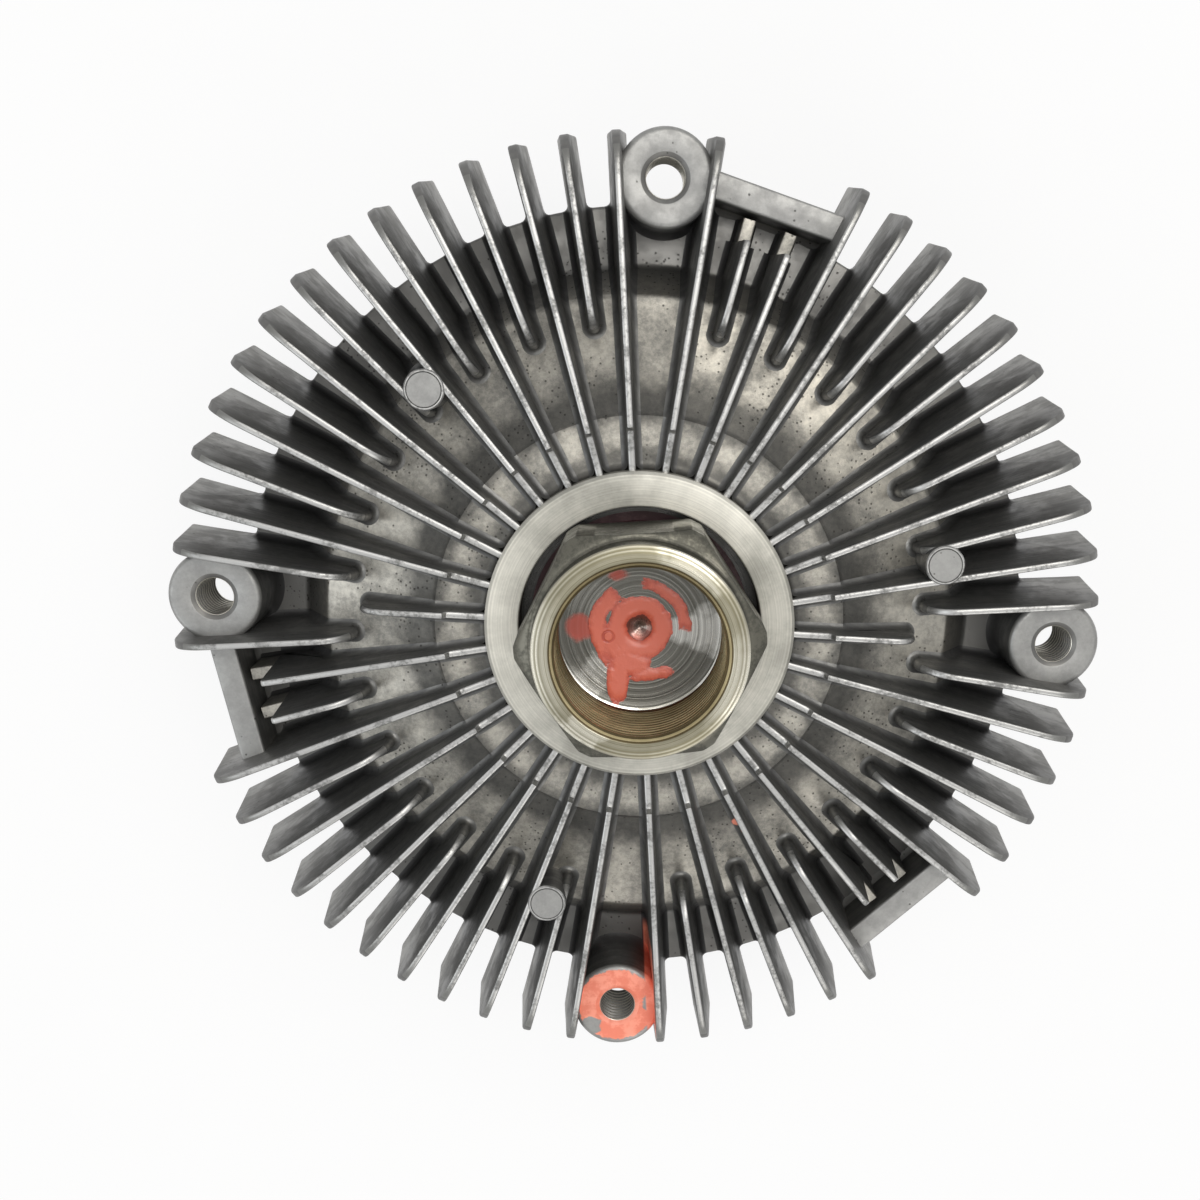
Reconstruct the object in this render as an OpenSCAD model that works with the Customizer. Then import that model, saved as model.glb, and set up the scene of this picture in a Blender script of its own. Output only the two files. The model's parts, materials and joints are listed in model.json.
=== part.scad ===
// Viscous fan clutch: a finned die-cast housing runs on a ball bearing round a hub with a
// hexagon socket nut, and a slotted rotor on the hub drags it through silicone fluid.
// Z runs along the shaft with the nut up, and Z = 0 is the face of the fan lugs.

/* [Housing] */
// Radius of the turned collar round the bearing
collar_r = 27.45; // [26.8:0.05:30]
// Height of the collar face above the lug face
collar_rise = 6.2; // [5:0.1:8]
// Opening in the collar lip, round the nut
lip_r = 21.4; // [21.2:0.05:22.6]
// Depth of the collar lip, from its face to the bearing
lip_depth = 7.7; // [6.5:0.1:9]
// Radius of the flat band at the foot of the collar
band_r = 36.7; // [34:0.1:40]
// Height of that band above the lug face
band_rise = 1.4; // [0.6:0.1:2.4]
// Radius where the dome turns down into the shoulder
shoulder_r = 57.4; // [56:0.1:60]
// Drop of the dome's edge below the lug face
shoulder_drop = 4.4; // [3.5:0.1:6]
// Radius at the foot of the shoulder
foot_r = 61.2; // [60.5:0.1:63]
// Drop of the rim below the lug face
rim_drop = 13; // [12:0.1:14.5]
// Radius of the rim
rim_r = 72.3; // [71:0.1:74]
// Thickness of the dome over the fluid chamber
dome_wall = 5.4; // [4:0.1:6]
// Thickness of the shoulder beside the fluid chamber
side_wall = 3.2; // [2.6:0.1:4]
// Thickness of the rim over the rotor's edge
rim_plate = 3.6; // [3:0.1:4.4]
// Width of the ledge that the cover seats on
seat_ledge = 2.5; // [1.8:0.1:3.5]
// Wall of the bearing boss inside the chamber
boss_wall = 5; // [4:0.1:5.6]
// Wall of the rim outside the cover's seat
rim_wall = 5.8; // [4.5:0.1:7]
// Thickness of the rolled edge that holds the cover
roll_t = 1.6; // [1.2:0.1:2.2]
// Reach of the rolled edge over the cover's flange
roll_reach = 2.4; // [1.6:0.1:3]
// Drop of the dome at the edge of the band
band_step = 0.8; // [0.3:0.1:1.2]
// Bevel on the turned edges of collar and rim
turned_bevel = 0.5; // [0.2:0.1:0.8]
// Radius of the cast corners
cast_round = 1.5; // [0.8:0.1:2]

/* [Rear fins] */
// Number of fin places round the housing
fin_places = 60; // [60]
// Height of the fins above the lug face
fin_rise = 5.8; // [5:0.1:6.6]
// Depth of the fins along the shaft
fin_depth = 21.3; // [20:0.1:23]
// Thickness of a fin along its edge
fin_tip_t = 1.15; // [0.9:0.05:1.5]
// Thickness of a fin at its back
fin_root_t = 3.4; // [2.6:0.1:3.8]
// Radius of the fin ends
fin_r = 83.6; // [82:0.1:86]
// How much further out the fins reach at the back
fin_splay = 1; // [0:0.1:1.4]
// Radius of the round corner at a fin's end
fin_corner = 7; // [4:0.1:9]
// Radius where the short fins start
short_fin_r = 51; // [49:0.1:54]
// Length over which a short fin rises
short_fin_sweep = 6.5; // [4:0.1:9]
// Radius of the round corner at a blunt fin's end
blunt_corner = 4; // [2:0.1:5]
// Radius where the turning tool stepped the long fins down
step_r = 34.3; // [32:0.1:36]
// Height of that step
step_h = 1.3; // [0.5:0.1:2]

/* [Fan lugs] */
// Diameter of the circle of lug holes
lug_pcd = 152; // [148:0.5:154]
// Radius of a lug boss
lug_r = 8.3; // [7.8:0.1:8.8]
// Depth of a lug
lug_depth = 14; // [13.4:0.1:15]
// Core diameter of the M8 thread
lug_hole_d = 6.65; // [6.4:0.05:7]
// Width of the countersink round a lug hole
lug_sink = 0.85; // [0.4:0.05:1.4]

/* [Lands and bosses] */
// Radius of the middle of a balance land
land_bar_r = 75.3; // [74.5:0.1:76.5]
// Width of a balance land
land_bar_w = 4.6; // [3.6:0.1:5]
// Drop of a balance land below the lug face
land_bar_drop = 2.3; // [1.5:0.1:4]
// Radius where the fins behind a balance land end
cut_fin_r = 68.2; // [66:0.1:70]
// Length of the small rib behind a balance land
stub_len = 3.9; // [3:0.1:5]
// Thickness of that rib
stub_t = 2.3; // [1.6:0.1:3]
// Drop of that rib below the lug face
stub_drop = 4.3; // [3.5:0.1:6]
// Radius of the circle of ejector bosses
boss_circle_r = 55; // [53.5:0.1:56]
// Diameter of an ejector boss
ejector_d = 7; // [6:0.1:7.6]
// Height of an ejector boss above the fins
ejector_rise = 0.3; // [0.1:0.05:0.8]

/* [Hub] */
// Width of the nut across its flats
hex_af = 38; // [36:0.1:40]
// Height of the nut's front above the lug face
hub_rise = 27.3; // [25:0.1:30]
// Turn of the nut about the shaft
hex_turn = 6.5; // [0:0.5:59]
// Gap between the collar face and the underside of the nut
hex_gap = 0.6; // [0.2:0.05:1]
// Length of the round nose in front of the hexagon
nose_len = 5.3; // [4:0.1:8]
// Distance from the flats in to the round nose
nose_step = 0.95; // [0.6:0.05:2]
// Radius of the corner between hexagon and nose
nose_fillet = 0.7; // [0.3:0.05:1]
// Core diameter of the M30 x 1.5 thread
thread_core_d = 28.38; // [27:0.02:29]
// Depth of the chamfer at the mouth of the thread
mouth_chamfer = 1; // [0.5:0.1:1.6]
// Depth of the threaded socket
socket_depth = 20.5; // [18:0.1:21]
// Length of the relief groove under the thread
relief_len = 2.4; // [1.5:0.1:3.5]
// Depth of the relief groove
relief_cut = 0.9; // [0.4:0.1:1.2]
// Depth of the cone that the drill left in the socket's floor
floor_cone = 0.9; // [0.3:0.1:1.5]
// Diameter of the centre mark in the socket's floor
dimple_d = 4.4; // [3:0.1:6]
// Depth of the centre mark
dimple_depth = 1.3; // [0.6:0.1:2]
// Radius of the neck under the nut
neck_r = 16.6; // [16.3:0.1:17.4]
// Length of the shoulder that seats on the bearing
shoulder_len = 2; // [1.4:0.1:3]
// Diameter of the rotor's seat on the shaft
rotor_seat_d = 17; // [15:0.1:18.4]
// Height of the head staked over the rotor
stake_h = 0.8; // [0.5:0.1:1.4]

/* [Bearing] */
// Bearing bore, the shaft diameter
bearing_bore = 20; // [19:0.1:21]
// Bearing outside diameter
bearing_od = 47; // [46:0.1:48]
// Bearing width
bearing_b = 14; // [13.2:0.1:15]
// Outside diameter of the inner ring
inner_ring_d = 27.6; // [27:0.1:28.2]
// Inside diameter of the outer ring
outer_ring_d = 39.4; // [39:0.1:40]
// Ball diameter
ball_d = 7.94; // [7.4:0.02:8.1]
// Number of balls
ball_count = 8; // [6:1:9]
// Thickness of the cage
cage_t = 3; // [2:0.1:3.6]
// Width of the cage past the balls
cage_side = 0.9; // [0.6:0.05:1.2]
// Thickness of a bearing seal
seal_t = 1.2; // [0.8:0.05:1.3]
// How far a seal lies below the bearing's face
seal_sink = 0.4; // [0.2:0.05:0.5]
// Thickness of the snap ring under the bearing
snap_t = 1.75; // [1.4:0.05:2.2]
// Depth of the snap ring's groove
snap_groove = 1.3; // [0.8:0.05:1.6]
// Height of the snap ring's face, from groove to inside
snap_w = 3.6; // [2.6:0.1:4]
// Width of the snap ring's gap, in degrees
snap_gap_angle = 34; // [20:1:50]
// Length of the boss past the snap ring
boss_end = 1.5; // [1:0.1:2.2]

/* [Rotor] */
// Thickness of the rotor plate
rotor_t = 3; // [2.4:0.1:4]
// Radius of the rotor's hub
rotor_hub_r = 14.5; // [13.8:0.1:16]
// Pitch of the rings on rotor and housing
ring_pitch = 3.6; // [3.4:0.05:4.2]
// Thickness of one ring
ring_t = 1.4; // [1:0.05:1.45]
// Clearance between rotor and housing, along the shaft and at the edge
fluid_gap = 0.6; // [0.4:0.05:1]
// Diameter of the fluid holes in the rotor
rotor_hole_d = 6; // [4:0.1:7]
// Number of fluid holes in the rotor
rotor_holes = 6; // [3:1:8]
// Radius of the circle of fluid holes
rotor_hole_r = 22.5; // [20:0.1:24]

/* [Front cover] */
// Thickness of the cover's flange
flange_t = 4.5; // [4:0.1:6]
// Bevel on the outer corners of the cover's fins
cover_fin_bevel = 3; // [1:0.1:5]
// Width of the ledge under the edge of the separator plate
ledge_w = 5; // [4.2:0.1:6]
// Thickness of the separator plate
separator_t = 1.2; // [0.8:0.05:1.6]
// Radius of the separator plate
separator_r = 53; // [51:0.1:54]
// Depth of the fluid reservoir under the valve arm
reservoir_depth = 3.2; // [2:0.1:5]
// Thickness of the cover's wall
cover_wall = 3.5; // [3:0.1:5]
// Number of fins on the cover
cover_fins = 30; // [24:1:36]
// Radius where the cover's fins start
cover_fin_in = 33; // [32:0.1:36]
// Thickness of a cover fin along its edge
cover_fin_tip = 1.6; // [1.2:0.1:2]
// Thickness of a cover fin at its root
cover_fin_root = 3; // [2.4:0.1:3.4]
// Thickness of the cover's ring seal
cover_seal_d = 2.4; // [2:0.05:2.8]
// Diameter of the separator's rivets
rivet_d = 2; // [1.6:0.1:2.4]
// Number of the separator's rivets
rivet_count = 6; // [3:1:8]
// Radius of the circle of rivets
rivet_circle_r = 50.4; // [49.8:0.1:51]

/* [Valve and coil] */
// Diameter of the valve shaft
valve_d = 6; // [5:0.1:6.6]
// Diameter of the tenon that holds the valve arm
tenon_d = 4; // [3:0.1:4.4]
// Thickness of the valve arm
arm_t = 1; // [0.8:0.05:1.4]
// Length of the valve arm, from the shaft to its pad
arm_len = 32; // [26:0.1:36]
// Diameter of the valve arm's pad
pad_d = 12; // [10:0.1:14]
// Width of the valve arm
arm_w = 7; // [6.6:0.1:8]
// Diameter of the port in the separator plate
port_d = 7; // [5:0.1:8]
// Diameter of the return hole in the separator plate
return_d = 4; // [2:0.1:5]
// Radius of the return hole from the shaft
return_r = 44; // [40:0.1:45]
// Reach of the collar on the valve shaft past the bush's bore
valve_collar = 1.2; // [0.6:0.1:1.8]
// Wall of the bush round the valve shaft
bush_wall = 2; // [1.7:0.05:2.6]
// Wall of the cover's boss round the bush
hub_boss_wall = 3.6; // [2.6:0.1:4.2]
// Width of the bimetal strip
coil_w = 6.5; // [5:0.1:8]
// Thickness of the bimetal strip
coil_t = 1; // [0.7:0.05:1.2]
// Radius of the coil's first turn
coil_in = 5; // [4.6:0.1:6]
// Radial pitch of the coil's turns
coil_pitch = 3.2; // [2.6:0.05:3.6]
// Number of turns of the coil
coil_turns = 5; // [4:1:5]
// Gap between the cover and the coil
coil_gap = 1.7; // [1.4:0.1:2.4]
// Depth of the coil below the cover's fin edges
coil_sink = 1.5; // [0.5:0.1:3]
// Thickness of the anchor bracket
bracket_t = 1.2; // [1:0.05:1.4]
// Width of the anchor bracket
bracket_w = 9; // [7:0.1:11]
// Length of the bracket's foot
bracket_foot = 7; // [6:0.1:7.4]
// Diameter of the bracket's rivet
anchor_rivet_d = 3; // [2.4:0.1:3.4]

/* [Clearances] */
// Gap between parts that are seated on each other
seat_gap = 0.02; // [0.01:0.01:0.05]
// Radial gap of a running fit
run_gap = 0.04; // [0.02:0.01:0.08]
// Gap between parts that move past each other
free_gap = 0.35; // [0.3:0.05:0.5]

/* [Hidden] */
$fn = 96;
eps = 0.01;
deep = 200;
// Facets of small round ends, ring seals and balls
end_fn = 24;
seal_fn = 32;
ball_fn = 48;
// Angle between the points of the coil's spiral
coil_step = 10;
// Radius of a rivet head as a share of the shank's diameter
head_share = 0.9;
// Slopes of a countersink's wall or a nut's chamfer, and of the dome's side, in degrees
sink_slope = 30;
side_lean = 20;

// Fin places, counted in steps of one fin pitch
fin_pitch = 360 / fin_places;
land_half_angle = fin_pitch + fin_pitch / 2;
lug_angles = [0, 90, 180, 270];
bar_angles = [75, 195, 315];
ejector_angles = [15, 135, 255];
blunt_angles = [0, 180];
cut_angles = [for (a = bar_angles) each [a - fin_pitch / 2, a + fin_pitch / 2]];
long_angles = [for (i = [0:2:fin_places - 1]) i * fin_pitch];
short_angles = [for (i = [1:2:fin_places - 1]) i * fin_pitch];

// Levels along the shaft, from the nut down to the rest face
fin_top = fin_rise;
fin_low = fin_rise - fin_depth;
collar_z = collar_rise;
seat_z = collar_rise - lip_depth;
bearing_low = seat_z - bearing_b;
boss_low = bearing_low - snap_t - boss_end;
rotor_top = boss_low - fluid_gap;
rotor_low = rotor_top - rotor_t;
stake_low = rotor_low - stake_h;
separator_top = stake_low - fluid_gap;
separator_low = separator_top - separator_t;
arm_top = separator_low - free_gap;
arm_low = arm_top - arm_t;
reservoir_low = arm_low - reservoir_depth;
cover_low = reservoir_low - cover_wall;
flange_low = separator_top - flange_t;
rim_low = flange_low - roll_t - seat_gap;
coil_top = cover_low - coil_gap;
coil_low = coil_top - coil_w;
rest_z = coil_low - coil_sink;
ceiling_z = -shoulder_drop - dome_wall;
ring_tip = rotor_top + fluid_gap;
rotor_ring_tip = ceiling_z - fluid_gap;

// Radii that follow from the sizes above
bearing_r = bearing_od / 2;
bore_r = bearing_bore / 2;
pitch_r = (inner_ring_d + outer_ring_d) / 4;
ball_r = ball_d / 2;
bearing_mid = seat_z - bearing_b / 2;
boss_r = bearing_r + boss_wall;
chamber_r = shoulder_r - side_wall;
ring_count = floor((chamber_r - boss_r) / ring_pitch) - 1;
seat_r = rim_r - rim_wall;
plate_r = seat_r - seat_ledge;
plate_top = -rim_drop - rim_plate;
rotor_r = plate_r - fluid_gap;
cover_r = seat_r - seat_gap;
cover_body_r = seat_r - roll_reach - free_gap;
seal_groove_r = seat_r - cover_seal_d - 2 * seat_gap;
seal_z = separator_top - flange_t / 2;
reservoir_r = separator_r - ledge_w;
dish_r = reservoir_r + cover_wall;
lug_circle_r = lug_pcd / 2;
snap_out = bearing_r + snap_groove;
snap_in = snap_out - snap_w;
seal_in = inner_ring_d / 2 + free_gap / 2;
seal_out = outer_ring_d / 2 - seat_gap;
cage_half = ball_r + cage_side;
fin_foot_t = fin_tip_t + (fin_root_t - fin_tip_t) * (fin_rise + shoulder_drop) / fin_depth;
valve_r = valve_d / 2;
bush_in = valve_r + run_gap;
bush_out = bush_in + bush_wall;
bush_bore = bush_out + seat_gap;
hub_boss_r = bush_bore + hub_boss_wall;
hub_boss_top = arm_low - free_gap;
bush_top = hub_boss_top - bush_wall;
bush_low = cover_low - coil_gap / 4;
collar_low = bush_low - run_gap - coil_gap / 4;
coil_end = coil_in + coil_pitch * coil_turns;
bracket_in = coil_end + coil_t / 2 + free_gap;
rivet_r = bracket_in + bracket_t + bracket_foot / 2;
rotor_seat_r = rotor_seat_d / 2;
thread_r = thread_core_d / 2;
relief_r = thread_r + relief_cut;
socket_z = hub_rise - socket_depth;
hex_low = collar_z + hex_gap;
hex_top = hub_rise - nose_len;
hex_r = hex_af / sqrt(3);
flat_r = hex_af / 2;
nose_r = flat_r - nose_step;
bar_r = hex_r + mouth_chamfer;
steps = 6;

cast_grey = [0.45, 0.45, 0.44];
turned_steel = [0.66, 0.63, 0.55];
bright_steel = [0.75, 0.76, 0.78];
seal_maroon = [0.26, 0.12, 0.14];
rubber_black = [0.08, 0.08, 0.08];
brass_gold = [0.72, 0.56, 0.28];

// Points of an arc about a centre, from one angle to another
function arc(c, r, a0, a1) = [
    for (i = [0:steps]) c + r * [cos(a0 + (a1 - a0) * i / steps), sin(a0 + (a1 - a0) * i / steps)]
];

// Ring between two radii and two levels
module ring(r_in, r_out, z_low, z_high) {
    rotate_extrude()
        translate([r_in, z_low])
            square([r_out - r_in, z_high - z_low]);
}

// Upright round bar between two levels
module post(r, z_low, z_high) {
    translate([0, 0, z_low])
        cylinder(r = r, h = z_high - z_low);
}

// Copies round the shaft
module around(angles, radius = 0) {
    for (a = angles)
        rotate(a)
            translate([radius, 0, 0])
                children();
}

// Radial blade whose sides lean out from t_edge at z_edge to t_back at z_back
module blade(r_in, r_out, z_edge, z_back, t_edge, t_back) {
    translate([r_in, 0, 0])
        rotate([90, 0, 90])
            linear_extrude(r_out - r_in)
                polygon([
                    [-t_edge / 2, z_edge], [t_edge / 2, z_edge],
                    [t_back / 2, z_back], [-t_back / 2, z_back]
                ]);
}

// Round inner end of a blade
module blade_end(r, z_edge, z_back, t_edge, t_back) {
    translate([r, 0, min(z_edge, z_back)])
        cylinder(
            h = abs(z_edge - z_back),
            d1 = z_edge > z_back ? t_back : t_edge,
            d2 = z_edge > z_back ? t_edge : t_back,
            $fn = end_fn
        );
}

// Outer corner and back of a rear fin, down to the wall that carries it
function fin_back(r_in) = concat(
    [
        [r_in, -shoulder_drop - cast_round],
        [chamber_r + cast_round, -shoulder_drop - cast_round],
        [chamber_r + cast_round, -rim_drop - cast_round],
        [rim_r - cast_round, -rim_drop - cast_round],
        [rim_r - cast_round, fin_low],
        [fin_r + fin_splay, fin_low]
    ],
    arc([fin_r - fin_corner, fin_top - fin_corner], fin_corner, 0, 90)
);

// Edge of the fins at the collar, stepped down where its turning tool ran over them
function stepped_edge(r_in) = [
    [step_r + step_h / 2, fin_top], [step_r, fin_top - step_h], [r_in, fin_top - step_h]
];

module long_fin_section() {
    r_in = collar_r - turned_bevel;
    polygon(concat(fin_back(r_in), stepped_edge(r_in)));
}

// Section of the blunt fins, which stop before two of the lugs
module blunt_fin_section() {
    r_in = collar_r - turned_bevel;
    r_out = short_fin_r - fin_foot_t / 2;
    low = -shoulder_drop - cast_round;
    polygon(concat(
        [[r_in, low], [r_out, low]],
        arc([r_out - blunt_corner, fin_top - blunt_corner], blunt_corner, 0, 90),
        stepped_edge(r_in)
    ));
}

// Section of the short fins, which sweep up out of the dome
module short_fin_section() {
    r_in = short_fin_r;
    polygon(concat(
        fin_back(r_in),
        arc([r_in + short_fin_sweep, fin_top - short_fin_sweep], short_fin_sweep, 90, 180)
    ));
}

function is_in(a, list) = len([for (b = list) if (b == a) b]) > 0;
function fin_end(a) = is_in(a, cut_angles) ? cut_fin_r : fin_r + fin_splay;

module rear_blade(r_in, r_out) {
    blade(r_in, r_out, fin_top, fin_low, fin_tip_t, fin_root_t);
}

module rear_blade_end(r) {
    blade_end(r, fin_top, fin_low, fin_tip_t, fin_root_t);
}

module long_fins() {
    intersection() {
        rotate_extrude()
            long_fin_section();
        for (a = long_angles)
            if (!is_in(a, blunt_angles))
                rotate(a)
                    rear_blade(collar_r - turned_bevel, fin_end(a));
    }
}

module blunt_fins() {
    r_out = short_fin_r - fin_foot_t;
    intersection() {
        rotate_extrude()
            blunt_fin_section();
        for (a = blunt_angles)
            rotate(a) {
                rear_blade(collar_r - turned_bevel, r_out);
                rear_blade_end(r_out);
            }
    }
}

module short_fins() {
    intersection() {
        rotate_extrude()
            short_fin_section();
        for (a = short_angles)
            if (!is_in(a, lug_angles))
                rotate(a) {
                    rear_blade(short_fin_r + fin_foot_t / 2, fin_end(a));
                    rear_blade_end(short_fin_r + fin_foot_t / 2);
                }
    }
}

// Lug boss with a rounded edge, standing on the rim
module lug() {
    rotate_extrude()
        polygon(concat(
            [[0, 0], [0, -lug_depth], [lug_r, -lug_depth]],
            arc([lug_r - turned_bevel, -turned_bevel], turned_bevel, 0, 90)
        ));
}

// Thread core of a lug with its countersink
module lug_hole() {
    sink_deep = lug_sink * tan(sink_slope);
    post(lug_hole_d / 2, -deep, deep);
    translate([0, 0, -sink_deep])
        cylinder(h = 2 * sink_deep, r1 = lug_hole_d / 2, r2 = lug_hole_d / 2 + 2 * lug_sink);
}

// Balance land: a bar between two fins, with drafted sides
module balance_land() {
    half = land_bar_w / 2;
    low = fin_low + turned_bevel;
    rotate([90, 0, 0])
        linear_extrude(2 * land_bar_r * tan(land_half_angle), center = true)
            polygon([
                [land_bar_r - half, -land_bar_drop], [land_bar_r + half, -land_bar_drop],
                [land_bar_r + half + turned_bevel, low], [rim_r - cast_round, low],
                [rim_r - cast_round, -rim_drop - cast_round]
            ]);
}

// Low rib that carries a cut fin on to the balance land
module stub() {
    translate([cut_fin_r - cast_round, -stub_t / 2, -rim_drop - cast_round])
        cube([stub_len + cast_round, stub_t, rim_drop + cast_round - stub_drop]);
}

// Flat-topped boss left by an ejector pin
module ejector_boss() {
    top = fin_top + ejector_rise;
    post(ejector_d / 2, -shoulder_drop - cast_round, top - ejector_rise);
    translate([0, 0, top - ejector_rise])
        cylinder(h = ejector_rise, d1 = ejector_d, d2 = ejector_d - 2 * ejector_rise);
}

// Outside of the housing from the collar to the rim
function outer_profile() = concat(
    [
        [collar_r - turned_bevel, collar_z], [collar_r, collar_z - turned_bevel]
    ],
    arc([collar_r + cast_round, band_rise + cast_round], cast_round, 180, 270),
    [
        [band_r, band_rise], [band_r + band_step, band_rise - band_step]
    ],
    arc([shoulder_r - cast_round, -shoulder_drop - cast_round], cast_round, 90, side_lean),
    arc([foot_r + cast_round, -rim_drop + cast_round], cast_round, 180 + side_lean, 270),
    [
        [rim_r - turned_bevel, -rim_drop], [rim_r, -rim_drop - turned_bevel],
        [rim_r, rim_low + cast_round], [rim_r - cast_round, rim_low]
    ]
);

// Inside of the housing from the rolled edge up to the collar lip
function inner_profile() = [
    [seat_r - roll_reach, rim_low], [seat_r - roll_reach, flange_low - seat_gap],
    [seat_r, flange_low - seat_gap], [seat_r, separator_top],
    [plate_r, separator_top], [plate_r, plate_top],
    [chamber_r, plate_top], [chamber_r, ceiling_z],
    [boss_r, ceiling_z], [boss_r, boss_low],
    [bearing_r + seat_gap, boss_low], [bearing_r + seat_gap, bearing_low - snap_t - 2 * seat_gap],
    [snap_out + seat_gap, bearing_low - snap_t - 2 * seat_gap], [snap_out + seat_gap, bearing_low],
    [bearing_r + seat_gap, bearing_low], [bearing_r + seat_gap, seat_z],
    [lip_r, seat_z], [lip_r, collar_z]
];

module rear_housing() {
    color(cast_grey) {
        difference() {
            union() {
                rotate_extrude()
                    polygon(concat(outer_profile(), inner_profile()));
                long_fins();
                blunt_fins();
                short_fins();
                around(lug_angles, lug_circle_r)
                    lug();
                around(bar_angles)
                    balance_land();
                around(cut_angles)
                    stub();
                around(ejector_angles, boss_circle_r)
                    ejector_boss();
            }
            around(lug_angles, lug_circle_r)
                lug_hole();
        }
        for (i = [1:ring_count])
            ring(boss_r + i * ring_pitch - ring_t / 2, boss_r + i * ring_pitch + ring_t / 2,
                ring_tip, ceiling_z + eps);
    }
}

// Section of the cover's fins, from the dish down to the rest face
module cover_fin_section() {
    polygon([
        [cover_fin_in, cover_low + cover_wall / 2], [dish_r, cover_low + cover_wall / 2],
        [cover_body_r - cover_wall / 2, flange_low + cover_wall / 2], [cover_body_r, flange_low],
        [cover_body_r, rest_z + cover_fin_bevel], [cover_body_r - cover_fin_bevel, rest_z],
        [cover_fin_in + cover_fin_bevel, rest_z], [cover_fin_in, rest_z + cover_fin_bevel]
    ]);
}

module front_cover() {
    color(cast_grey)
        difference() {
            union() {
                rotate_extrude()
                    polygon([
                        [bush_bore, hub_boss_top], [hub_boss_r, hub_boss_top],
                        [hub_boss_r, reservoir_low], [reservoir_r, reservoir_low],
                        [reservoir_r, separator_low], [separator_r + seat_gap, separator_low],
                        [separator_r + seat_gap, separator_top], [cover_r, separator_top],
                        [cover_r, seal_z + cover_seal_d / 2], [seal_groove_r, seal_z + cover_seal_d / 2],
                        [seal_groove_r, seal_z - cover_seal_d / 2], [cover_r, seal_z - cover_seal_d / 2],
                        [cover_r, flange_low], [cover_body_r, flange_low],
                        [dish_r, cover_low], [bush_bore, cover_low]
                    ]);
                intersection() {
                    rotate_extrude()
                        cover_fin_section();
                    for (i = [0:cover_fins - 1])
                        rotate((i + 0.5) * 360 / cover_fins)
                            blade(cover_fin_in, cover_body_r, rest_z, flange_low + cover_wall / 2,
                                cover_fin_tip, cover_fin_root);
                }
            }
            around([for (i = [0:rivet_count - 1]) i * 360 / rivet_count], rivet_circle_r)
                post(rivet_d / 2 + seat_gap, separator_low - flange_t / 2, separator_low + eps);
            translate([rivet_r, 0, 0])
                post(anchor_rivet_d / 2 + seat_gap, cover_low - eps, cover_low + cover_wall / 2);
        }
}

// Ring seal in the cover's groove
module cover_seal() {
    color(rubber_black)
        rotate_extrude()
            translate([seat_r - seat_gap - cover_seal_d / 2, seal_z])
                circle(d = cover_seal_d - 2 * seat_gap, $fn = seal_fn);
}

// Round nose of the nut, with the corner at its foot and the bevel at its front
module nose_section() {
    corner = min(nose_fillet, nose_step);
    polygon(concat(
        [[0, hex_low], [nose_r, hex_low]],
        arc([nose_r + corner, hex_top + corner], corner, 270, 180),
        [[nose_r, hub_rise - turned_bevel], [nose_r - turned_bevel, hub_rise], [0, hub_rise]]
    ));
}

// Nut, neck and shaft turned from one bar
module hub_shaft() {
    color(turned_steel)
        difference() {
            union() {
                intersection() {
                    translate([0, 0, hex_low])
                        rotate(hex_turn)
                            cylinder(h = hex_top - hex_low, r = hex_r, $fn = 6);
                    rotate_extrude()
                        polygon([
                            [0, hex_low], [bar_r, hex_low],
                            [bar_r, hex_top - (bar_r - flat_r) * tan(sink_slope)],
                            [flat_r, hex_top], [0, hex_top]
                        ]);
                }
                rotate_extrude()
                    nose_section();
                rotate_extrude()
                    polygon([
                        [0, stake_low], [rotor_seat_r + stake_h, stake_low + stake_h / 2],
                        [rotor_seat_r + stake_h, rotor_low - seat_gap], [rotor_seat_r, rotor_low - seat_gap],
                        [rotor_seat_r, bearing_low], [bore_r, bearing_low],
                        [bore_r, seat_z], [inner_ring_d / 2 - turned_bevel, seat_z],
                        [inner_ring_d / 2 - turned_bevel, seat_z + shoulder_len],
                        [neck_r, seat_z + shoulder_len + turned_bevel],
                        [neck_r, hex_low + eps], [0, hex_low + eps]
                    ]);
            }
            rotate_extrude()
                polygon([
                    [0, socket_z - floor_cone - dimple_depth], [dimple_d / 2, socket_z - floor_cone],
                    [relief_r, socket_z], [relief_r, socket_z + relief_len],
                    [thread_r, socket_z + relief_len + relief_cut], [thread_r, hub_rise - mouth_chamfer],
                    [thread_r + mouth_chamfer + eps, hub_rise + eps], [0, hub_rise + eps]
                ]);
        }
}

// Ball track shared by the two rings
module ball_track() {
    rotate_extrude()
        translate([pitch_r, bearing_mid])
            circle(r = ball_r + run_gap, $fn = ball_fn);
}

module bearing_outer_ring() {
    color(bright_steel)
        difference() {
            ring(outer_ring_d / 2, bearing_r, bearing_low + seat_gap, seat_z - seat_gap);
            ball_track();
        }
}

module bearing_inner_ring() {
    color(bright_steel)
        difference() {
            ring(bore_r + seat_gap, inner_ring_d / 2, bearing_low + seat_gap, seat_z - seat_gap);
            ball_track();
        }
}

module ball_set(r) {
    around([for (i = [0:ball_count - 1]) i * 360 / ball_count], pitch_r)
        translate([0, 0, bearing_mid])
            sphere(r = r, $fn = ball_fn);
}

module bearing_balls() {
    color(bright_steel)
        ball_set(ball_r);
}

module bearing_cage() {
    color(brass_gold)
        difference() {
            ring(pitch_r - cage_t / 2, pitch_r + cage_t / 2,
                bearing_mid - cage_half, bearing_mid + cage_half);
            ball_set(ball_r + run_gap);
        }
}

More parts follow.
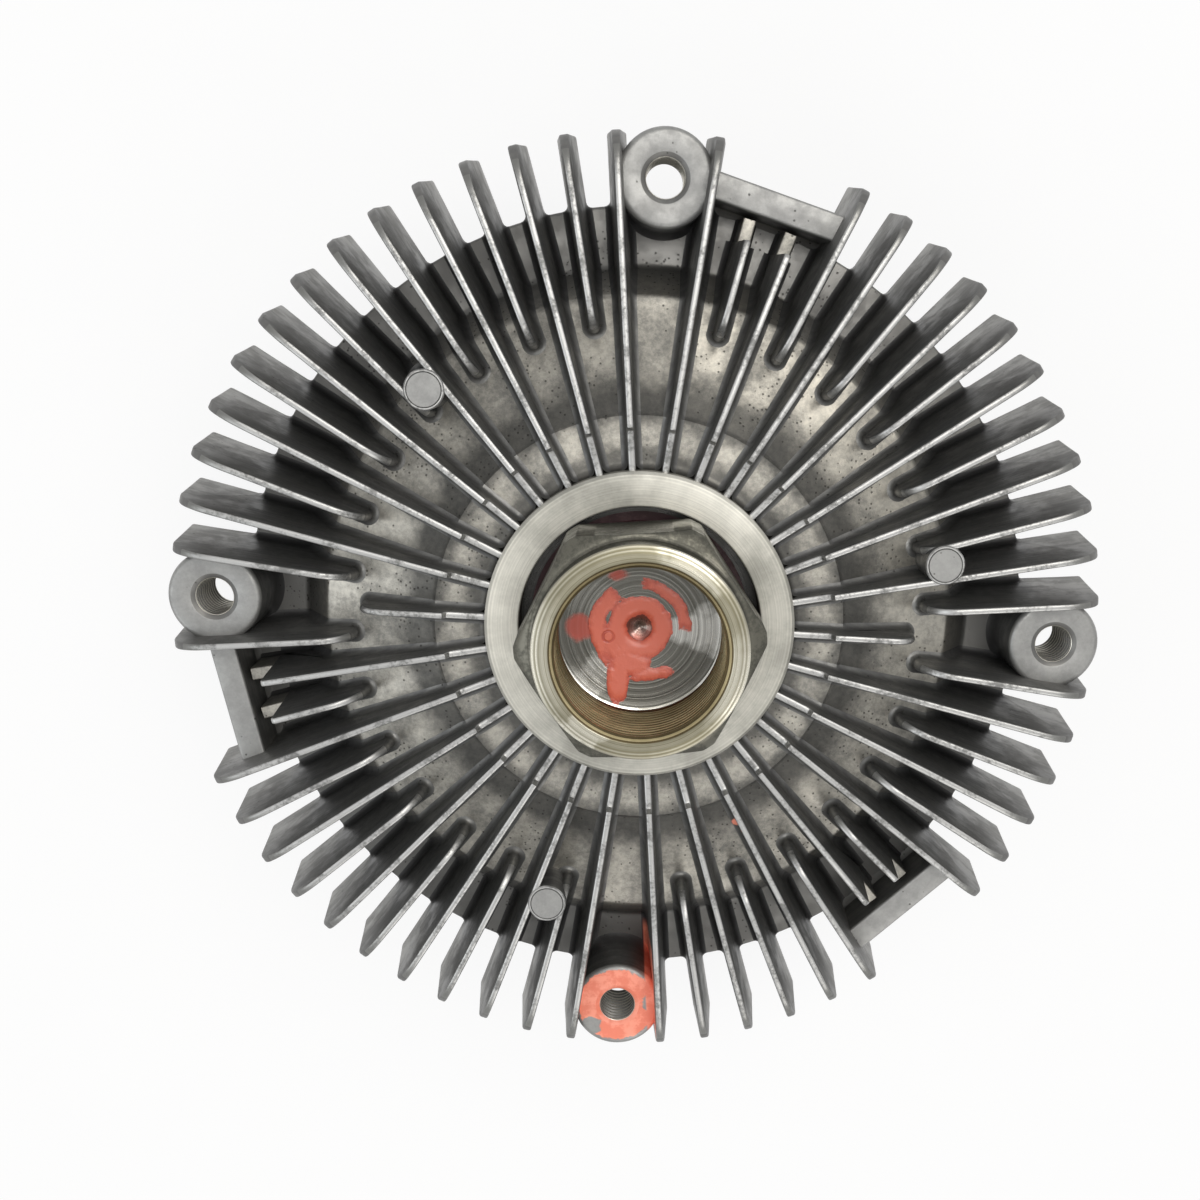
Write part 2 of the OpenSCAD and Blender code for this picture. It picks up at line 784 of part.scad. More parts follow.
// Bearing seal with a raised lip, its outer face at level z and facing up or down
module bearing_seal(z, up) {
    mid = (seal_in + seal_out) / 2;
    translate([0, 0, z])
        mirror([0, 0, up ? 0 : 1])
            rotate_extrude()
                polygon([
                    [seal_in, -seal_t], [seal_out, -seal_t], [seal_out, 0], [mid + seal_t, 0],
                    [mid, -seal_t / 3], [seal_in + seal_t, -seal_t / 3], [seal_in, 0]
                ]);
}

module rear_seal() {
    color(seal_maroon)
        bearing_seal(seat_z - seal_sink, true);
}

module front_seal() {
    color(seal_maroon)
        bearing_seal(bearing_low + seal_sink, false);
}

// Open ring in the groove under the bearing
module snap_ring() {
    color(bright_steel)
        rotate(snap_gap_angle / 2)
            rotate_extrude(angle = 360 - snap_gap_angle)
                translate([snap_in, bearing_low - snap_t - seat_gap])
                    square([snap_w, snap_t]);
}

module rotor() {
    color(bright_steel) {
        difference() {
            rotate_extrude()
                polygon([
                    [rotor_seat_r + seat_gap, rotor_low], [rotor_r, rotor_low], [rotor_r, rotor_top],
                    [rotor_hub_r, rotor_top], [rotor_hub_r - turned_bevel, bearing_low - seat_gap],
                    [rotor_seat_r + seat_gap, bearing_low - seat_gap]
                ]);
            around([for (i = [0:rotor_holes - 1]) i * 360 / rotor_holes], rotor_hole_r)
                post(rotor_hole_d / 2, rotor_low - eps, rotor_top + eps);
        }
        for (i = [1:ring_count])
            ring(boss_r + (i + 0.5) * ring_pitch - ring_t / 2, boss_r + (i + 0.5) * ring_pitch + ring_t / 2,
                rotor_top - eps, rotor_ring_tip);
    }
}

// Plate between the fluid reservoir and the rotor, with its valve port and return hole
module separator_plate() {
    color(bright_steel)
        difference() {
            post(separator_r, separator_low + seat_gap, separator_top);
            translate([arm_len, 0, 0])
                post(port_d / 2, separator_low - eps, separator_top + eps);
            translate([-return_r, 0, 0])
                post(return_d / 2, separator_low - eps, separator_top + eps);
            around([for (i = [0:rivet_count - 1]) i * 360 / rivet_count], rivet_circle_r)
                post(rivet_d / 2 + seat_gap, separator_low - eps, separator_top + eps);
        }
}

module separator_rivets() {
    color(bright_steel)
        around([for (i = [0:rivet_count - 1]) i * 360 / rivet_count], rivet_circle_r) {
            post(rivet_d / 2, separator_low - flange_t / 2 + seat_gap, separator_top + seat_gap + eps);
            post(rivet_d * head_share, separator_top + seat_gap, separator_top + seat_gap + fluid_gap / 2);
        }
}

// Sprung arm that slides over the port
module valve_arm() {
    color(bright_steel)
        translate([0, 0, arm_low])
            linear_extrude(arm_t)
                difference() {
                    union() {
                        circle(r = valve_r + coil_t);
                        translate([0, -arm_w / 2])
                            square([arm_len, arm_w]);
                        translate([arm_len, 0])
                            circle(d = pad_d);
                    }
                    circle(d = tenon_d + 2 * seat_gap);
                }
}

// Shaft from the arm's tenon to the slot that takes the coil's inner end
module valve_shaft() {
    color(turned_steel)
        difference() {
            rotate_extrude()
                polygon([
                    [0, coil_low], [valve_r, coil_low], [valve_r, collar_low],
                    [bush_in + valve_collar, collar_low], [bush_in + valve_collar, bush_low - run_gap],
                    [valve_r, bush_low - run_gap], [valve_r, arm_low - seat_gap],
                    [tenon_d / 2, arm_low - seat_gap], [tenon_d / 2, arm_top], [0, arm_top]
                ]);
            translate([-valve_d, -coil_t / 2 - run_gap, coil_low - eps])
                cube([2 * valve_d, coil_t + 2 * run_gap, coil_w + run_gap]);
        }
}

module valve_bush() {
    color(brass_gold)
        ring(bush_in, bush_out, bush_low, bush_top);
}

// Ring seal on top of the bush
module valve_seal() {
    color(rubber_black)
        rotate_extrude()
            translate([(bush_in + bush_out) / 2, bush_top + bush_wall / 2])
                circle(d = bush_wall - 2 * seat_gap, $fn = end_fn);
}

// Spiral strip from the slot in the valve shaft to the anchor bracket
function spiral(offset) = [
    for (a = [0:coil_step:360 * coil_turns])
        (coil_in + coil_pitch * a / 360 + offset) * [cos(a), sin(a)]
];

function reversed(list) = [for (i = [len(list) - 1:-1:0]) list[i]];

module bimetal_coil() {
    half = coil_t / 2;
    color(brass_gold)
        translate([0, 0, coil_low])
            linear_extrude(coil_w)
                union() {
                    polygon(concat(spiral(half), reversed(spiral(-half))));
                    translate([-valve_r / 2, -half])
                        square([valve_r / 2 + coil_in + half, coil_t]);
                    translate([coil_end - half, -half])
                        square([coil_t + free_gap + 2 * bracket_t, coil_t]);
                }
}

// Angle bracket whose upright is forked round the coil's outer end
module coil_bracket() {
    color(bright_steel)
        difference() {
            translate([bracket_in, -bracket_w / 2, 0])
                rotate([90, 0, 90]) {
                    translate([0, coil_low, 0])
                        linear_extrude(bracket_t)
                            square([bracket_w, cover_low - seat_gap - coil_low]);
                    translate([0, cover_low - seat_gap - bracket_t, 0])
                        linear_extrude(bracket_t + bracket_foot)
                            square([bracket_w, bracket_t]);
                }
            translate([bracket_in - eps, -coil_t / 2 - run_gap, coil_low - eps])
                cube([bracket_t + 2 * eps, coil_t + 2 * run_gap, coil_w + run_gap + eps]);
            translate([rivet_r, 0, 0])
                post(anchor_rivet_d / 2 + seat_gap, coil_low, cover_low);
        }
}

module bracket_rivet() {
    head_top = cover_low - bracket_t - 2 * seat_gap;
    color(bright_steel)
        translate([rivet_r, 0, 0]) {
            post(anchor_rivet_d / 2, head_top - eps, cover_low + cover_wall / 2 - seat_gap);
            translate([0, 0, head_top - bracket_t])
                cylinder(h = bracket_t, r1 = anchor_rivet_d / 2, r2 = anchor_rivet_d * head_share);
        }
}

rear_housing();
front_cover();
cover_seal();
hub_shaft();
bearing_outer_ring();
bearing_inner_ring();
bearing_balls();
bearing_cage();
rear_seal();
front_seal();
snap_ring();
rotor();
separator_plate();
separator_rivets();
valve_arm();
valve_shaft();
valve_bush();
valve_seal();
bimetal_coil();
coil_bracket();
bracket_rivet();
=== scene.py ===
"""Looks of the viscous fan clutch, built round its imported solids."""

import json
import logging
import math
from collections.abc import Callable, Iterable, Sequence
from dataclasses import dataclass, field
from enum import Enum, IntEnum
from functools import reduce

import bpy
from mathutils import Matrix, Vector


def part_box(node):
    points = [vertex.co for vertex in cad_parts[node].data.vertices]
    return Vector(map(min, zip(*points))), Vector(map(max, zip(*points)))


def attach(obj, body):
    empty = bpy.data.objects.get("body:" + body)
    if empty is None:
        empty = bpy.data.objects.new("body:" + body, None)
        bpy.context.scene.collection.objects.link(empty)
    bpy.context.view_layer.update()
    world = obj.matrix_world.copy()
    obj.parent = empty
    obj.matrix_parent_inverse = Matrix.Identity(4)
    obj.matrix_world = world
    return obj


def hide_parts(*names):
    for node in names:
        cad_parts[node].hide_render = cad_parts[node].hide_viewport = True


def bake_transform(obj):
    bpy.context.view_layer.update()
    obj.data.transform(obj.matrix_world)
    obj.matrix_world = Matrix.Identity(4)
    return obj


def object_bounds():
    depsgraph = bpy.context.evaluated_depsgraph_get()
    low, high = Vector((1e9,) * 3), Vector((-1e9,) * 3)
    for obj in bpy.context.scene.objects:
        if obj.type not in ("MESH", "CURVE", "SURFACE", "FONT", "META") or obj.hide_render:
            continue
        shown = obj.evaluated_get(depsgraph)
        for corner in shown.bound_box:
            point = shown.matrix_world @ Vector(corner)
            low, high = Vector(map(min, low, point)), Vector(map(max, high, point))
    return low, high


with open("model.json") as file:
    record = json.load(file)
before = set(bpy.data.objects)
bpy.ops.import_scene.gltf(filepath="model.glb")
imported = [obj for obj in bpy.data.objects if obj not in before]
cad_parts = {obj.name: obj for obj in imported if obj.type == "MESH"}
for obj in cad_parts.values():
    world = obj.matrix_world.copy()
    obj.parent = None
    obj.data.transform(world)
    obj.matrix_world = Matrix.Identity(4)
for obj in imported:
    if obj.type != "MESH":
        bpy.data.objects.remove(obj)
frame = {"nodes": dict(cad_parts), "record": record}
CAD_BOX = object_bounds()

LOG = logging.getLogger("fan_clutch")
MM = 0.001
PHOTO_PIXELS = 1200.0
SENSOR_MM = 36.0
SHARP_DEG = 32.0
EDGE_TURNS = (0.0, 30.0, 60.0, 90.0)
ROOT_STEPS = 4
ROOT_SINK = 0.02
THREAD_CREST, THREAD_SLOPE = 1.3, 1.6
THREAD_RUN_OUT = 0.05
GROOVE_LIMIT = 0.3
COLLAR_FOOT = 2
FLOOR_GAP = 0.0002

Point2 = tuple[float, float]
Point3 = tuple[float, float, float]
Colour = tuple[float, float, float]
Station = tuple[float, float, float, int]
Track = tuple[float, float, float, float]
Material = bpy.types.Material
Node = bpy.types.Node
Piece = bpy.types.Object
Socket = bpy.types.NodeSocket
Tree = bpy.types.NodeTree

# Colour of the painted shade in rings on the dome near the collar and in the valleys beside the fins.
PAINTED_SHADE: Colour = (0.05, 0.05, 0.048)
PIT_DIRT: Colour = (0.03, 0.028, 0.025)
MARK_PAINT: tuple[Colour, Colour] = ((0.84, 0.23, 0.145), (0.96, 0.34, 0.235))


class CastLook(IntEnum):
    """Finishes on a casting, in the order of its material slots."""

    SKIN = 0
    FIN_SIDE = 1
    FIN_EDGE = 2
    TURNED = 3
    LUG_FACE = 4
    THREAD = 5


class NutLook(IntEnum):
    """Finishes on the hub, in the order of its material slots."""

    FLAT = 0
    FRONT = 1
    THREAD = 2
    FLOOR = 3
    GROOVE = 4
    RIM = 5


class Side(Enum):
    """Side of a casting that the fins stand on."""

    NUT = 1.0
    COIL = -1.0


def polar(radius: float, degrees: float) -> Point2:
    """Point at a radius and an angle."""
    return radius * math.cos(math.radians(degrees)), radius * math.sin(math.radians(degrees))


def arc(centre: Point2, radius: float, start: float, end: float, steps: int = 8) -> list[Point2]:
    """Points of an arc in a number of steps from one angle in degrees to another."""
    spots = [polar(radius, turn) for turn in between(start, end, steps)]
    return [(centre[0] + x, centre[1] + y) for x, y in spots]


def between(low: float, high: float, steps: int) -> list[float]:
    """Even values from low to high, both included."""
    return [low + (high - low) * i / steps for i in range(steps + 1)]


def heading(line: Sequence[Sequence[float]], i: int) -> Point2:
    """Direction of a line at one of its points.

    Args:
        line: Points, of which the first two numbers count.
        i: Index of the point.

    Returns:
        The unit vector from the point before to the point after.
    """
    behind, ahead = line[max(i - 1, 0)], line[min(i + 1, len(line) - 1)]
    dx, dy = ahead[0] - behind[0], ahead[1] - behind[1]
    size = math.hypot(dx, dy) or 1.0
    return dx / size, dy / size


def stations(points: Iterable[Point2], look: int, share: float = 0.0) -> list[Station]:
    """Points of a fin's outline with one look and one share of full rounding."""
    return [(r, z, share, look) for r, z in points]


def show(name: str, data: bpy.types.ID) -> Piece:
    """Puts a mesh, lamp or camera into the scene.

    Args:
        name: Name of the object.
        data: What it shows.

    Returns:
        The object.
    """
    thing = bpy.data.objects.new(name, data)
    bpy.context.scene.collection.objects.link(thing)
    return thing


@dataclass
class MeshDraft:
    """Points and faces of one piece while it is drawn, in millimetres."""

    side: Side = Side.NUT
    points: list[Point3] = field(default_factory=list)
    faces: list[tuple[int, ...]] = field(default_factory=list)
    looks: list[int] = field(default_factory=list)
    flat: list[bool] = field(default_factory=list)

    def add(self, points: Iterable[Point3]) -> list[int]:
        """Adds points.

        Args:
            points: Places in millimetres.

        Returns:
            Their indices.
        """
        first = len(self.points)
        self.points.extend(points)
        return list(range(first, len(self.points)))

    def face(self, corners: Sequence[int], look: int, flat: bool = False) -> None:
        """Adds one face.

        Args:
            corners: Indices of its points.
            look: Material slot.
            flat: True for a face that is shaded as a plane.
        """
        self.faces.append(tuple(corners))
        self.looks.append(int(look))
        self.flat.append(flat)

    def skin(self, rows: Sequence[Sequence[int]], looks: Sequence[int], closed: bool = False,
             flip: bool = False) -> None:
        """Joins rows of points with quads.

        Args:
            rows: Rows of indices, all of one length.
            looks: Material slot for each gap between two points of a row.
            closed: True if the last row meets the first.
            flip: True to turn the faces over.
        """
        pairs = list(zip(rows, rows[1:]))
        if closed:
            pairs.append((rows[-1], rows[0]))
        for one, two in pairs:
            for k, look in enumerate(looks):
                corners = (one[k], two[k], two[k + 1], one[k + 1])
                self.face(corners[::-1] if flip else corners, look)

    def lathe(self, profile: Callable[[float], Sequence[Point2]], looks: Sequence[int], segments: int,
              centre: Point2 = (0.0, 0.0)) -> None:
        """Turns a profile that changes with the angle about an upright axis.

        Args:
            profile: Gives radius and height of its points at an angle, ordered with the outside on the left.
            looks: Material slot for each gap between two profile points.
            segments: Steps round the axis.
            centre: Place of the axis.
        """
        rows = []
        for i in range(segments):
            c, s = polar(1.0, 360.0 * i / segments)
            ring = profile(360.0 * i / segments)
            rows.append(self.add((centre[0] + r * c, centre[1] + r * s, z) for r, z in ring))
        self.skin(rows, looks, closed=True)

    def revolve(self, profile: Sequence[Point2], looks: Sequence[int], segments: int,
                centre: Point2 = (0.0, 0.0)) -> None:
        """Turns one profile of radius and height about an upright axis."""
        self.lathe(lambda _: profile, looks, segments, centre)

    def thread(self, core: float, depth: float, pitch: float, ends: Point2, looks: tuple[int, int],
               around: int, fine: int = 8, centre: Point2 = (0.0, 0.0)) -> None:
        """Draws the helical wall of a threaded hole.

        Args:
            core: Radius of the crests.
            depth: Depth of the grooves.
            pitch: Lead of the thread.
            ends: Levels of its lower and upper end.
            looks: Material slots of the crests and of the grooves.
            around: Steps round the axis.
            fine: Steps in each pitch.
            centre: Place of the axis.
        """
        low, high = ends
        count = math.ceil(((high - low) / pitch + 1.0) * fine)
        waves = [abs(2.0 * (k / fine % 1.0) - 1.0) for k in range(count + 1)]
        cuts = [max(0.0, min(1.0, THREAD_CREST - THREAD_SLOPE * wave)) for wave in waves]
        rows = []
        for i in range(around):
            c, s = polar(1.0, 360.0 * i / around)
            row = []
            for k, groove in enumerate(cuts):
                z = min(high, max(low, low + pitch * (k / fine + i / around - 1.0)))
                fade = min(1.0, (high - z) / pitch + THREAD_RUN_OUT, (z - low) / pitch + THREAD_RUN_OUT)
                r = core + depth * groove * fade
                row.append((centre[0] + r * c, centre[1] + r * s, z))
            rows.append(self.add(row))
        rows.append(rows[0][fine:] + rows[0][-1:] * fine)
        for one, two in zip(rows, rows[1:]):
            for k in range(count):
                corners = (one[k], two[k], two[k + 1], one[k + 1])
                if len({self.points[c][2] for c in corners}) > 1:
                    self.face(corners, looks[cuts[k] + cuts[k + 1] > GROOVE_LIMIT])

    def turned(self, angle: float, part: "MeshDraft") -> None:
        """Adds a copy of another draft, turned about the shaft.

        Args:
            angle: Turn in degrees.
            part: Draft to copy.
        """
        c, s = polar(1.0, angle)
        first = len(self.points)
        self.points.extend((x * c - y * s, x * s + y * c, z) for x, y, z in part.points)
        self.faces.extend(tuple(i + first for i in f) for f in part.faces)
        self.looks.extend(part.looks)
        self.flat.extend(part.flat)

    def piece(self, name: str, materials: Sequence[Material]) -> Piece:
        """Makes the Blender object.

        Args:
            name: Name of the piece.
            materials: Materials in the order of the slots.

        Returns:
            The object, in metres in the shared frame.
        """
        way = self.side.value
        mesh = bpy.data.meshes.new(name)
        places = [(x * MM, y * MM, z * way * MM) for x, y, z in self.points]
        faces = self.faces if way > 0 else [f[::-1] for f in self.faces]
        mesh.from_pydata(places, [], faces)
        for material in materials:
            mesh.materials.append(material)
        for polygon, look, flat in zip(mesh.polygons, self.looks, self.flat):
            polygon.material_index = look
            polygon.use_smooth = not flat
        mesh.validate()
        mesh.set_sharp_from_angle(angle=math.radians(SHARP_DEG))
        return show(name, mesh)


class NodeDesk:
    """Places and joins the nodes of one shader tree."""

    def __init__(self, tree: Tree) -> None:
        """Keeps the tree."""
        self.tree = tree

    def put(self, kind: str, feeds: dict[int | str, object] | None = None, **settings: object) -> Node:
        """Adds a node.

        Args:
            kind: Type of the node.
            feeds: Sockets or values for its inputs, by number or name.
            settings: Its properties.

        Returns:
            The node.
        """
        node = self.tree.nodes.new(kind)
        for key, value in settings.items():
            setattr(node, key, value)
        node.location = (len(self.tree.nodes) * 40.0, 0.0)
        self.wire(node, feeds or {})
        return node

    def find(self, kind: str) -> Node:
        """Finds the node of a type that the tree started with."""
        return next(n for n in self.tree.nodes if n.type == kind)

    def wire(self, node: Node, feeds: dict[int | str, object]) -> None:
        """Feeds inputs of a node by number or name."""
        for key, value in feeds.items():
            self.feed(node.inputs[key], value)

    def feed(self, socket: Socket, value: object) -> None:
        """Joins a socket to another one, or sets its value.

        Args:
            socket: Input socket.
            value: Output socket, number or colour.
        """
        if isinstance(value, Socket):
            self.tree.links.new(value, socket)
        elif isinstance(value, tuple) and len(value) == 3 and socket.type == "RGBA":
            socket.default_value = (*value, 1.0)
        else:
            socket.default_value = value

    def math(self, operation: str, *values: object, clamp: bool = False) -> Socket:
        """Adds a sum of one, two or three values, kept between 0 and 1 where it is to clamp."""
        feeds = dict(enumerate(values))
        return self.put("ShaderNodeMath", feeds, operation=operation, use_clamp=clamp).outputs[0]

    def times(self, *values: object) -> Socket:
        """Multiplies values."""
        return reduce(lambda one, two: self.math("MULTIPLY", one, two), values)

    def plus(self, first: object, second: object) -> Socket:
        """Adds two values."""
        return self.math("ADD", first, second)

    def minus(self, first: object, second: object) -> Socket:
        """Takes the second value from the first."""
        return self.math("SUBTRACT", first, second)

    def most(self, *values: object) -> Socket:
        """Takes the largest of some values."""
        return reduce(lambda one, two: self.math("MAXIMUM", one, two), values)

    def apart(self, first: object, second: object) -> Socket:
        """Distance between two values."""
        return self.math("ABSOLUTE", self.minus(first, second))

    def ramp(self, value: object, low: object, high: float, out_low: float = 0.0,
             out_high: float = 1.0) -> Socket:
        """Eases a value from the range low to high on to the range out_low to out_high."""
        feeds = dict(enumerate((value, low, high, out_low, out_high)))
        return self.put("ShaderNodeMapRange", feeds, interpolation_type="SMOOTHSTEP", clamp=True).outputs[0]

    def band(self, value: object, rise: Point2, fall: Point2) -> Socket:
        """Adds 1 between the rise and the fall of a value, and 0 outside them."""
        return self.times(self.ramp(value, *rise), self.ramp(value, *fall, 1.0, 0.0))

    def mix(self, share: object, first: object, second: object) -> Socket:
        """Mixes two colours by the share of the second."""
        return self.put("ShaderNodeMix", {0: share, 6: first, 7: second}, data_type="RGBA").outputs[2]

    def blend(self, share: float, first: object, second: object) -> Socket:
        """Mixes two values by the share of the second."""
        return self.plus(self.times(first, 1.0 - share), self.times(second, share))

    def scaled(self, vector: Socket, factor: object) -> Socket:
        """Scales a vector."""
        return self.put("ShaderNodeVectorMath", {0: vector, "Scale": factor}, operation="SCALE").outputs[0]

    def places(self) -> Socket:
        """Adds the surface point in millimetres of the shared frame."""
        return self.scaled(self.put("ShaderNodeTexCoord").outputs["Object"], 1.0 / MM)

    def split(self, vector: Socket) -> list[Socket]:
        """Splits a vector into its three numbers."""
        return list(self.put("ShaderNodeSeparateXYZ", {0: vector}).outputs)

    def reach(self, first: object, second: object) -> Socket:
        """Adds the length of a flat vector."""
        return self.math("SQRT", self.plus(self.times(first, first), self.times(second, second)))

    def noise(self, vector: Socket, scale: float, detail: float, rough: float) -> Socket:
        """Adds a cloudy value about 0.5, with its clouds for each millimetre and its finer layers."""
        feeds = {"Vector": vector, "Scale": scale, "Detail": detail, "Roughness": rough}
        return self.put("ShaderNodeTexNoise", feeds, noise_dimensions="3D").outputs[0]

    def group(self, tree: Tree, **inputs: object) -> bpy.types.bpy_prop_collection:
        """Outputs of a shared effect, whose inputs have underscores for the spaces in their names."""
        feeds = {key.replace("_", " "): value for key, value in inputs.items()}
        return self.put("ShaderNodeGroup", feeds, node_tree=tree).outputs

    def bump(self, height: Socket, strength: float, distance_mm: float) -> Socket:
        """Turns a height, in millimetres at value 1, into a normal."""
        feeds = {"Strength": strength, "Distance": distance_mm * MM, "Height": height}
        return self.put("ShaderNodeBump", feeds).outputs[0]


class EffectDesk(NodeDesk):
    """Desk of a shared node group, whose inputs and outputs are single values."""

    def __init__(self, name: str, **inputs: float) -> None:
        """Makes an empty group.

        Args:
            name: Name of the group.
            inputs: First values of its inputs, with underscores for the spaces in their names.
        """
        super().__init__(bpy.data.node_groups.new(name, "ShaderNodeTree"))
        for key, value in inputs.items():
            self.socket(key.replace("_", " "), "INPUT").default_value = value
        self.given = self.put("NodeGroupInput").outputs

    def socket(self, name: str, way: str) -> bpy.types.NodeTreeInterfaceSocket:
        """Adds an input or an output to the group."""
        return self.tree.interface.new_socket(name=name, in_out=way, socket_type="NodeSocketFloat")

    def close(self, **outputs: Socket) -> Tree:
        """Adds the outputs.

        Args:
            outputs: What each output gives.

        Returns:
            The finished group.
        """
        for name in outputs:
            self.socket(name, "OUTPUT")
        self.put("NodeGroupOutput", outputs)
        return self.tree


class SharedEffects:
    """Node groups that several finishes use."""

    def __init__(self) -> None:
        """Builds each group once."""
        self.cast_grain = self._cast_grain()
        self.turned_lines = self._turned_lines()
        self.worn_edges = self._worn_edges()
        self.paint_marks = self._paint_marks()
        self.dome_soot = self._dome_soot()
        self.turned_sheen = self._turned_sheen()

    @staticmethod
    def _cast_grain() -> Tree:
        """Draws cloudy stains, fine speckle, dark pits and grain of a die casting.

        Returns:
            The group.
        """
        desk = EffectDesk("cast_grain", Stain_Size=9.0, Pits=0.3)
        place = desk.places()
        wide = desk.scaled(place, desk.math("DIVIDE", 1.0, desk.given["Stain Size"]))
        stain = desk.ramp(desk.noise(wide, 1.0, 6.0, 0.68), 0.33, 0.68)
        speck = desk.ramp(desk.noise(place, 0.95, 4.0, 0.78), 0.36, 0.64)
        cells = desk.put("ShaderNodeTexVoronoi", {"Vector": place, "Scale": 1.25}, feature="F1").outputs
        dots = desk.ramp(cells["Distance"], 0.14, 0.34, 1.0, 0.0)
        lucky = desk.split(cells["Color"])[0]
        crowd = desk.ramp(desk.noise(place, 0.06, 1.0, 0.5), 0.45, 0.62, 0.2, 2.6)
        pit = desk.times(dots, desk.math("LESS_THAN", lucky, desk.times(desk.given["Pits"], crowd)))
        grain = desk.times(desk.noise(place, 2.6, 3.0, 0.6), 0.4)
        swell = desk.plus(grain, desk.noise(place, 0.35, 2.0, 0.5))
        return desk.close(Stain=stain, Speck=speck, Pit=pit, Height=desk.minus(swell, pit))

    @staticmethod
    def _turned_lines() -> Tree:
        """Draws fine rings that a turning tool leaves about the shaft.

        Returns:
            The group.
        """
        desk = EffectDesk("turned_lines", Feed=0.35)
        x, y, z = desk.split(desk.places())
        along = desk.plus(desk.reach(x, y), desk.times(z, 0.83))
        far = desk.math("DIVIDE", along, desk.given["Feed"])
        lines = desk.put("ShaderNodeTexNoise", {"W": far, "Scale": 1.0, "Detail": 4.0, "Roughness": 0.7},
                         noise_dimensions="1D").outputs[0]
        return desk.close(Lines=desk.ramp(lines, 0.3, 0.7), Height=lines)

    @staticmethod
    def _worn_edges() -> Tree:
        """Draws rubbed patches and scratches that break up a finish.

        Returns:
            The group.
        """
        desk = EffectDesk("worn_edges", Amount=0.5)
        place = desk.places()
        both = desk.blend(0.35, desk.noise(place, 0.22, 4.0, 0.65), desk.noise(place, 1.7, 3.0, 0.6))
        level = desk.minus(1.0, desk.given["Amount"])
        rub = desk.math("MULTIPLY_ADD", desk.minus(both, level), 6.0, 0.5)
        return desk.close(Rub=desk.ramp(rub, 0.0, 1.0), Height=both)

    @staticmethod
    def _paint_marks() -> Tree:
        """Draws orange marking paint on one lug, on the fin beside it and as a speck on the dome.

        Returns:
            The group.
        """
        desk = EffectDesk("paint_marks", Ragged=0.6)
        place = desk.places()
        x, y, z = desk.split(place)
        wobble = desk.times(desk.minus(desk.noise(place, 0.45, 3.0, 0.6), 0.5), desk.given["Ragged"])

        def spot(cx: float, cy: float, reach: float, soft: float) -> Socket:
            """Mask of a round mark.

            Args:
                cx: Middle across.
                cy: Middle up.
                reach: Radius.
                soft: Width of its ragged edge.

            Returns:
                The mask.
            """
            far = desk.reach(desk.minus(x, cx), desk.minus(y, cy))
            ragged = desk.plus(far, desk.times(wobble, soft))
            return desk.ramp(ragged, reach - 0.15, reach + 0.15, 1.0, 0.0)

        bare = desk.most(spot(-4.8, -80.4, 1.9, 3.5), spot(6.3, -75.2, 1.7, 4.0), spot(-7.5, -70.6, 1.6, 3.0))
        lug = desk.times(spot(-0.2, -75.9, 7.35, 3.0), desk.minus(1.0, bare),
                         desk.band(z, (-0.95, -0.4), (0.15, 0.3)))
        down = desk.times(y, -1.0)
        past = desk.minus(x, desk.times(down, math.tan(math.radians(6.0))))
        run = desk.plus(z, desk.times(wobble, 9.0))
        fin = desk.times(desk.band(down, (62.5, 65.0), (80.0, 82.5)),
                         desk.band(past, (-2.6, -2.2), (-0.3, 0.1)), desk.ramp(run, 1.6, 2.6, 1.0, 0.0))
        marks = desk.most(lug, fin, spot(20.3, -37.5, 0.75, 1.2))
        return desk.close(Mask=desk.times(marks, desk.ramp(z, -18.0, -16.0)))

    @staticmethod
    def _dome_soot() -> Tree:
        """Draws painted shade that lies on the dome in rings and in the valleys beside the fins, and gives
        the distance from the shaft.

        Returns:
            The group.
        """
        desk = EffectDesk("dome_soot", Ragged=3.0)
        place = desk.places()
        x, y, _ = desk.split(place)
        radius = desk.reach(x, y)
        cloud = desk.minus(desk.noise(place, 0.3, 4.0, 0.65), 0.5)
        ragged = desk.plus(radius, desk.times(cloud, desk.given["Ragged"]))
        # Painted shade: dark at the collar's foot, in a ring past the flat band and in the valleys beside the
        # fins.
        foot = desk.ramp(ragged, 29.2, 33.2, 1.0, 0.0)
        ring = desk.band(ragged, (33.6, 37.2), (40.0, 46.0))
        wave = desk.math("SINE", desk.times(desk.math("ARCTAN2", y, x), 15.0))
        valley = desk.ramp(desk.math("ABSOLUTE", wave), 0.3, 0.95, 0.8, 0.0)
        near_fin = desk.times(valley, desk.ramp(radius, 43.0, 50.0, 1.0, 0.0))
        return desk.close(Radius=radius, Soot=desk.most(foot, ring, near_fin))

    @staticmethod
    def _turned_sheen() -> Tree:
        """Draws a painted highlight: a bright streak across a turned face, towards one angle about the shaft.

        Returns:
            The group.
        """
        desk = EffectDesk("turned_sheen", Angle=0.0, Width=25.0)
        place = desk.places()
        x, y, _ = desk.split(place)
        angle = desk.math("RADIANS", desk.given["Angle"])
        ahead = desk.plus(desk.times(x, desk.math("COSINE", angle)), desk.times(y, desk.math("SINE", angle)))
        facing = desk.math("DIVIDE", ahead, desk.plus(desk.reach(x, y), 0.01))
        cloud = desk.times(desk.minus(desk.noise(place, 0.5, 2.0, 0.5), 0.5), 0.12)
        edge = desk.math("COSINE", desk.math("RADIANS", desk.given["Width"]))
        return desk.close(Sheen=desk.ramp(desk.plus(facing, cloud), edge, 1.0))


class Finish:
    """Base of the finishes: one material with a Principled shader."""

    name: str
    roughness: Point2

    def start(self) -> tuple[Material, NodeDesk, Node]:
        """Makes an empty material.

        Returns:
            The material, its desk and its Principled shader.
        """
        material = bpy.data.materials.new(self.name)
        material.use_nodes = True
        desk = NodeDesk(material.node_tree)
        return material, desk, desk.find("BSDF_PRINCIPLED")

    def rough(self, desk: NodeDesk, share: Socket) -> Socket:
        """Roughness that falls with the share of smooth metal."""
        return desk.ramp(share, 0.0, 1.0, self.roughness[1], self.roughness[0])


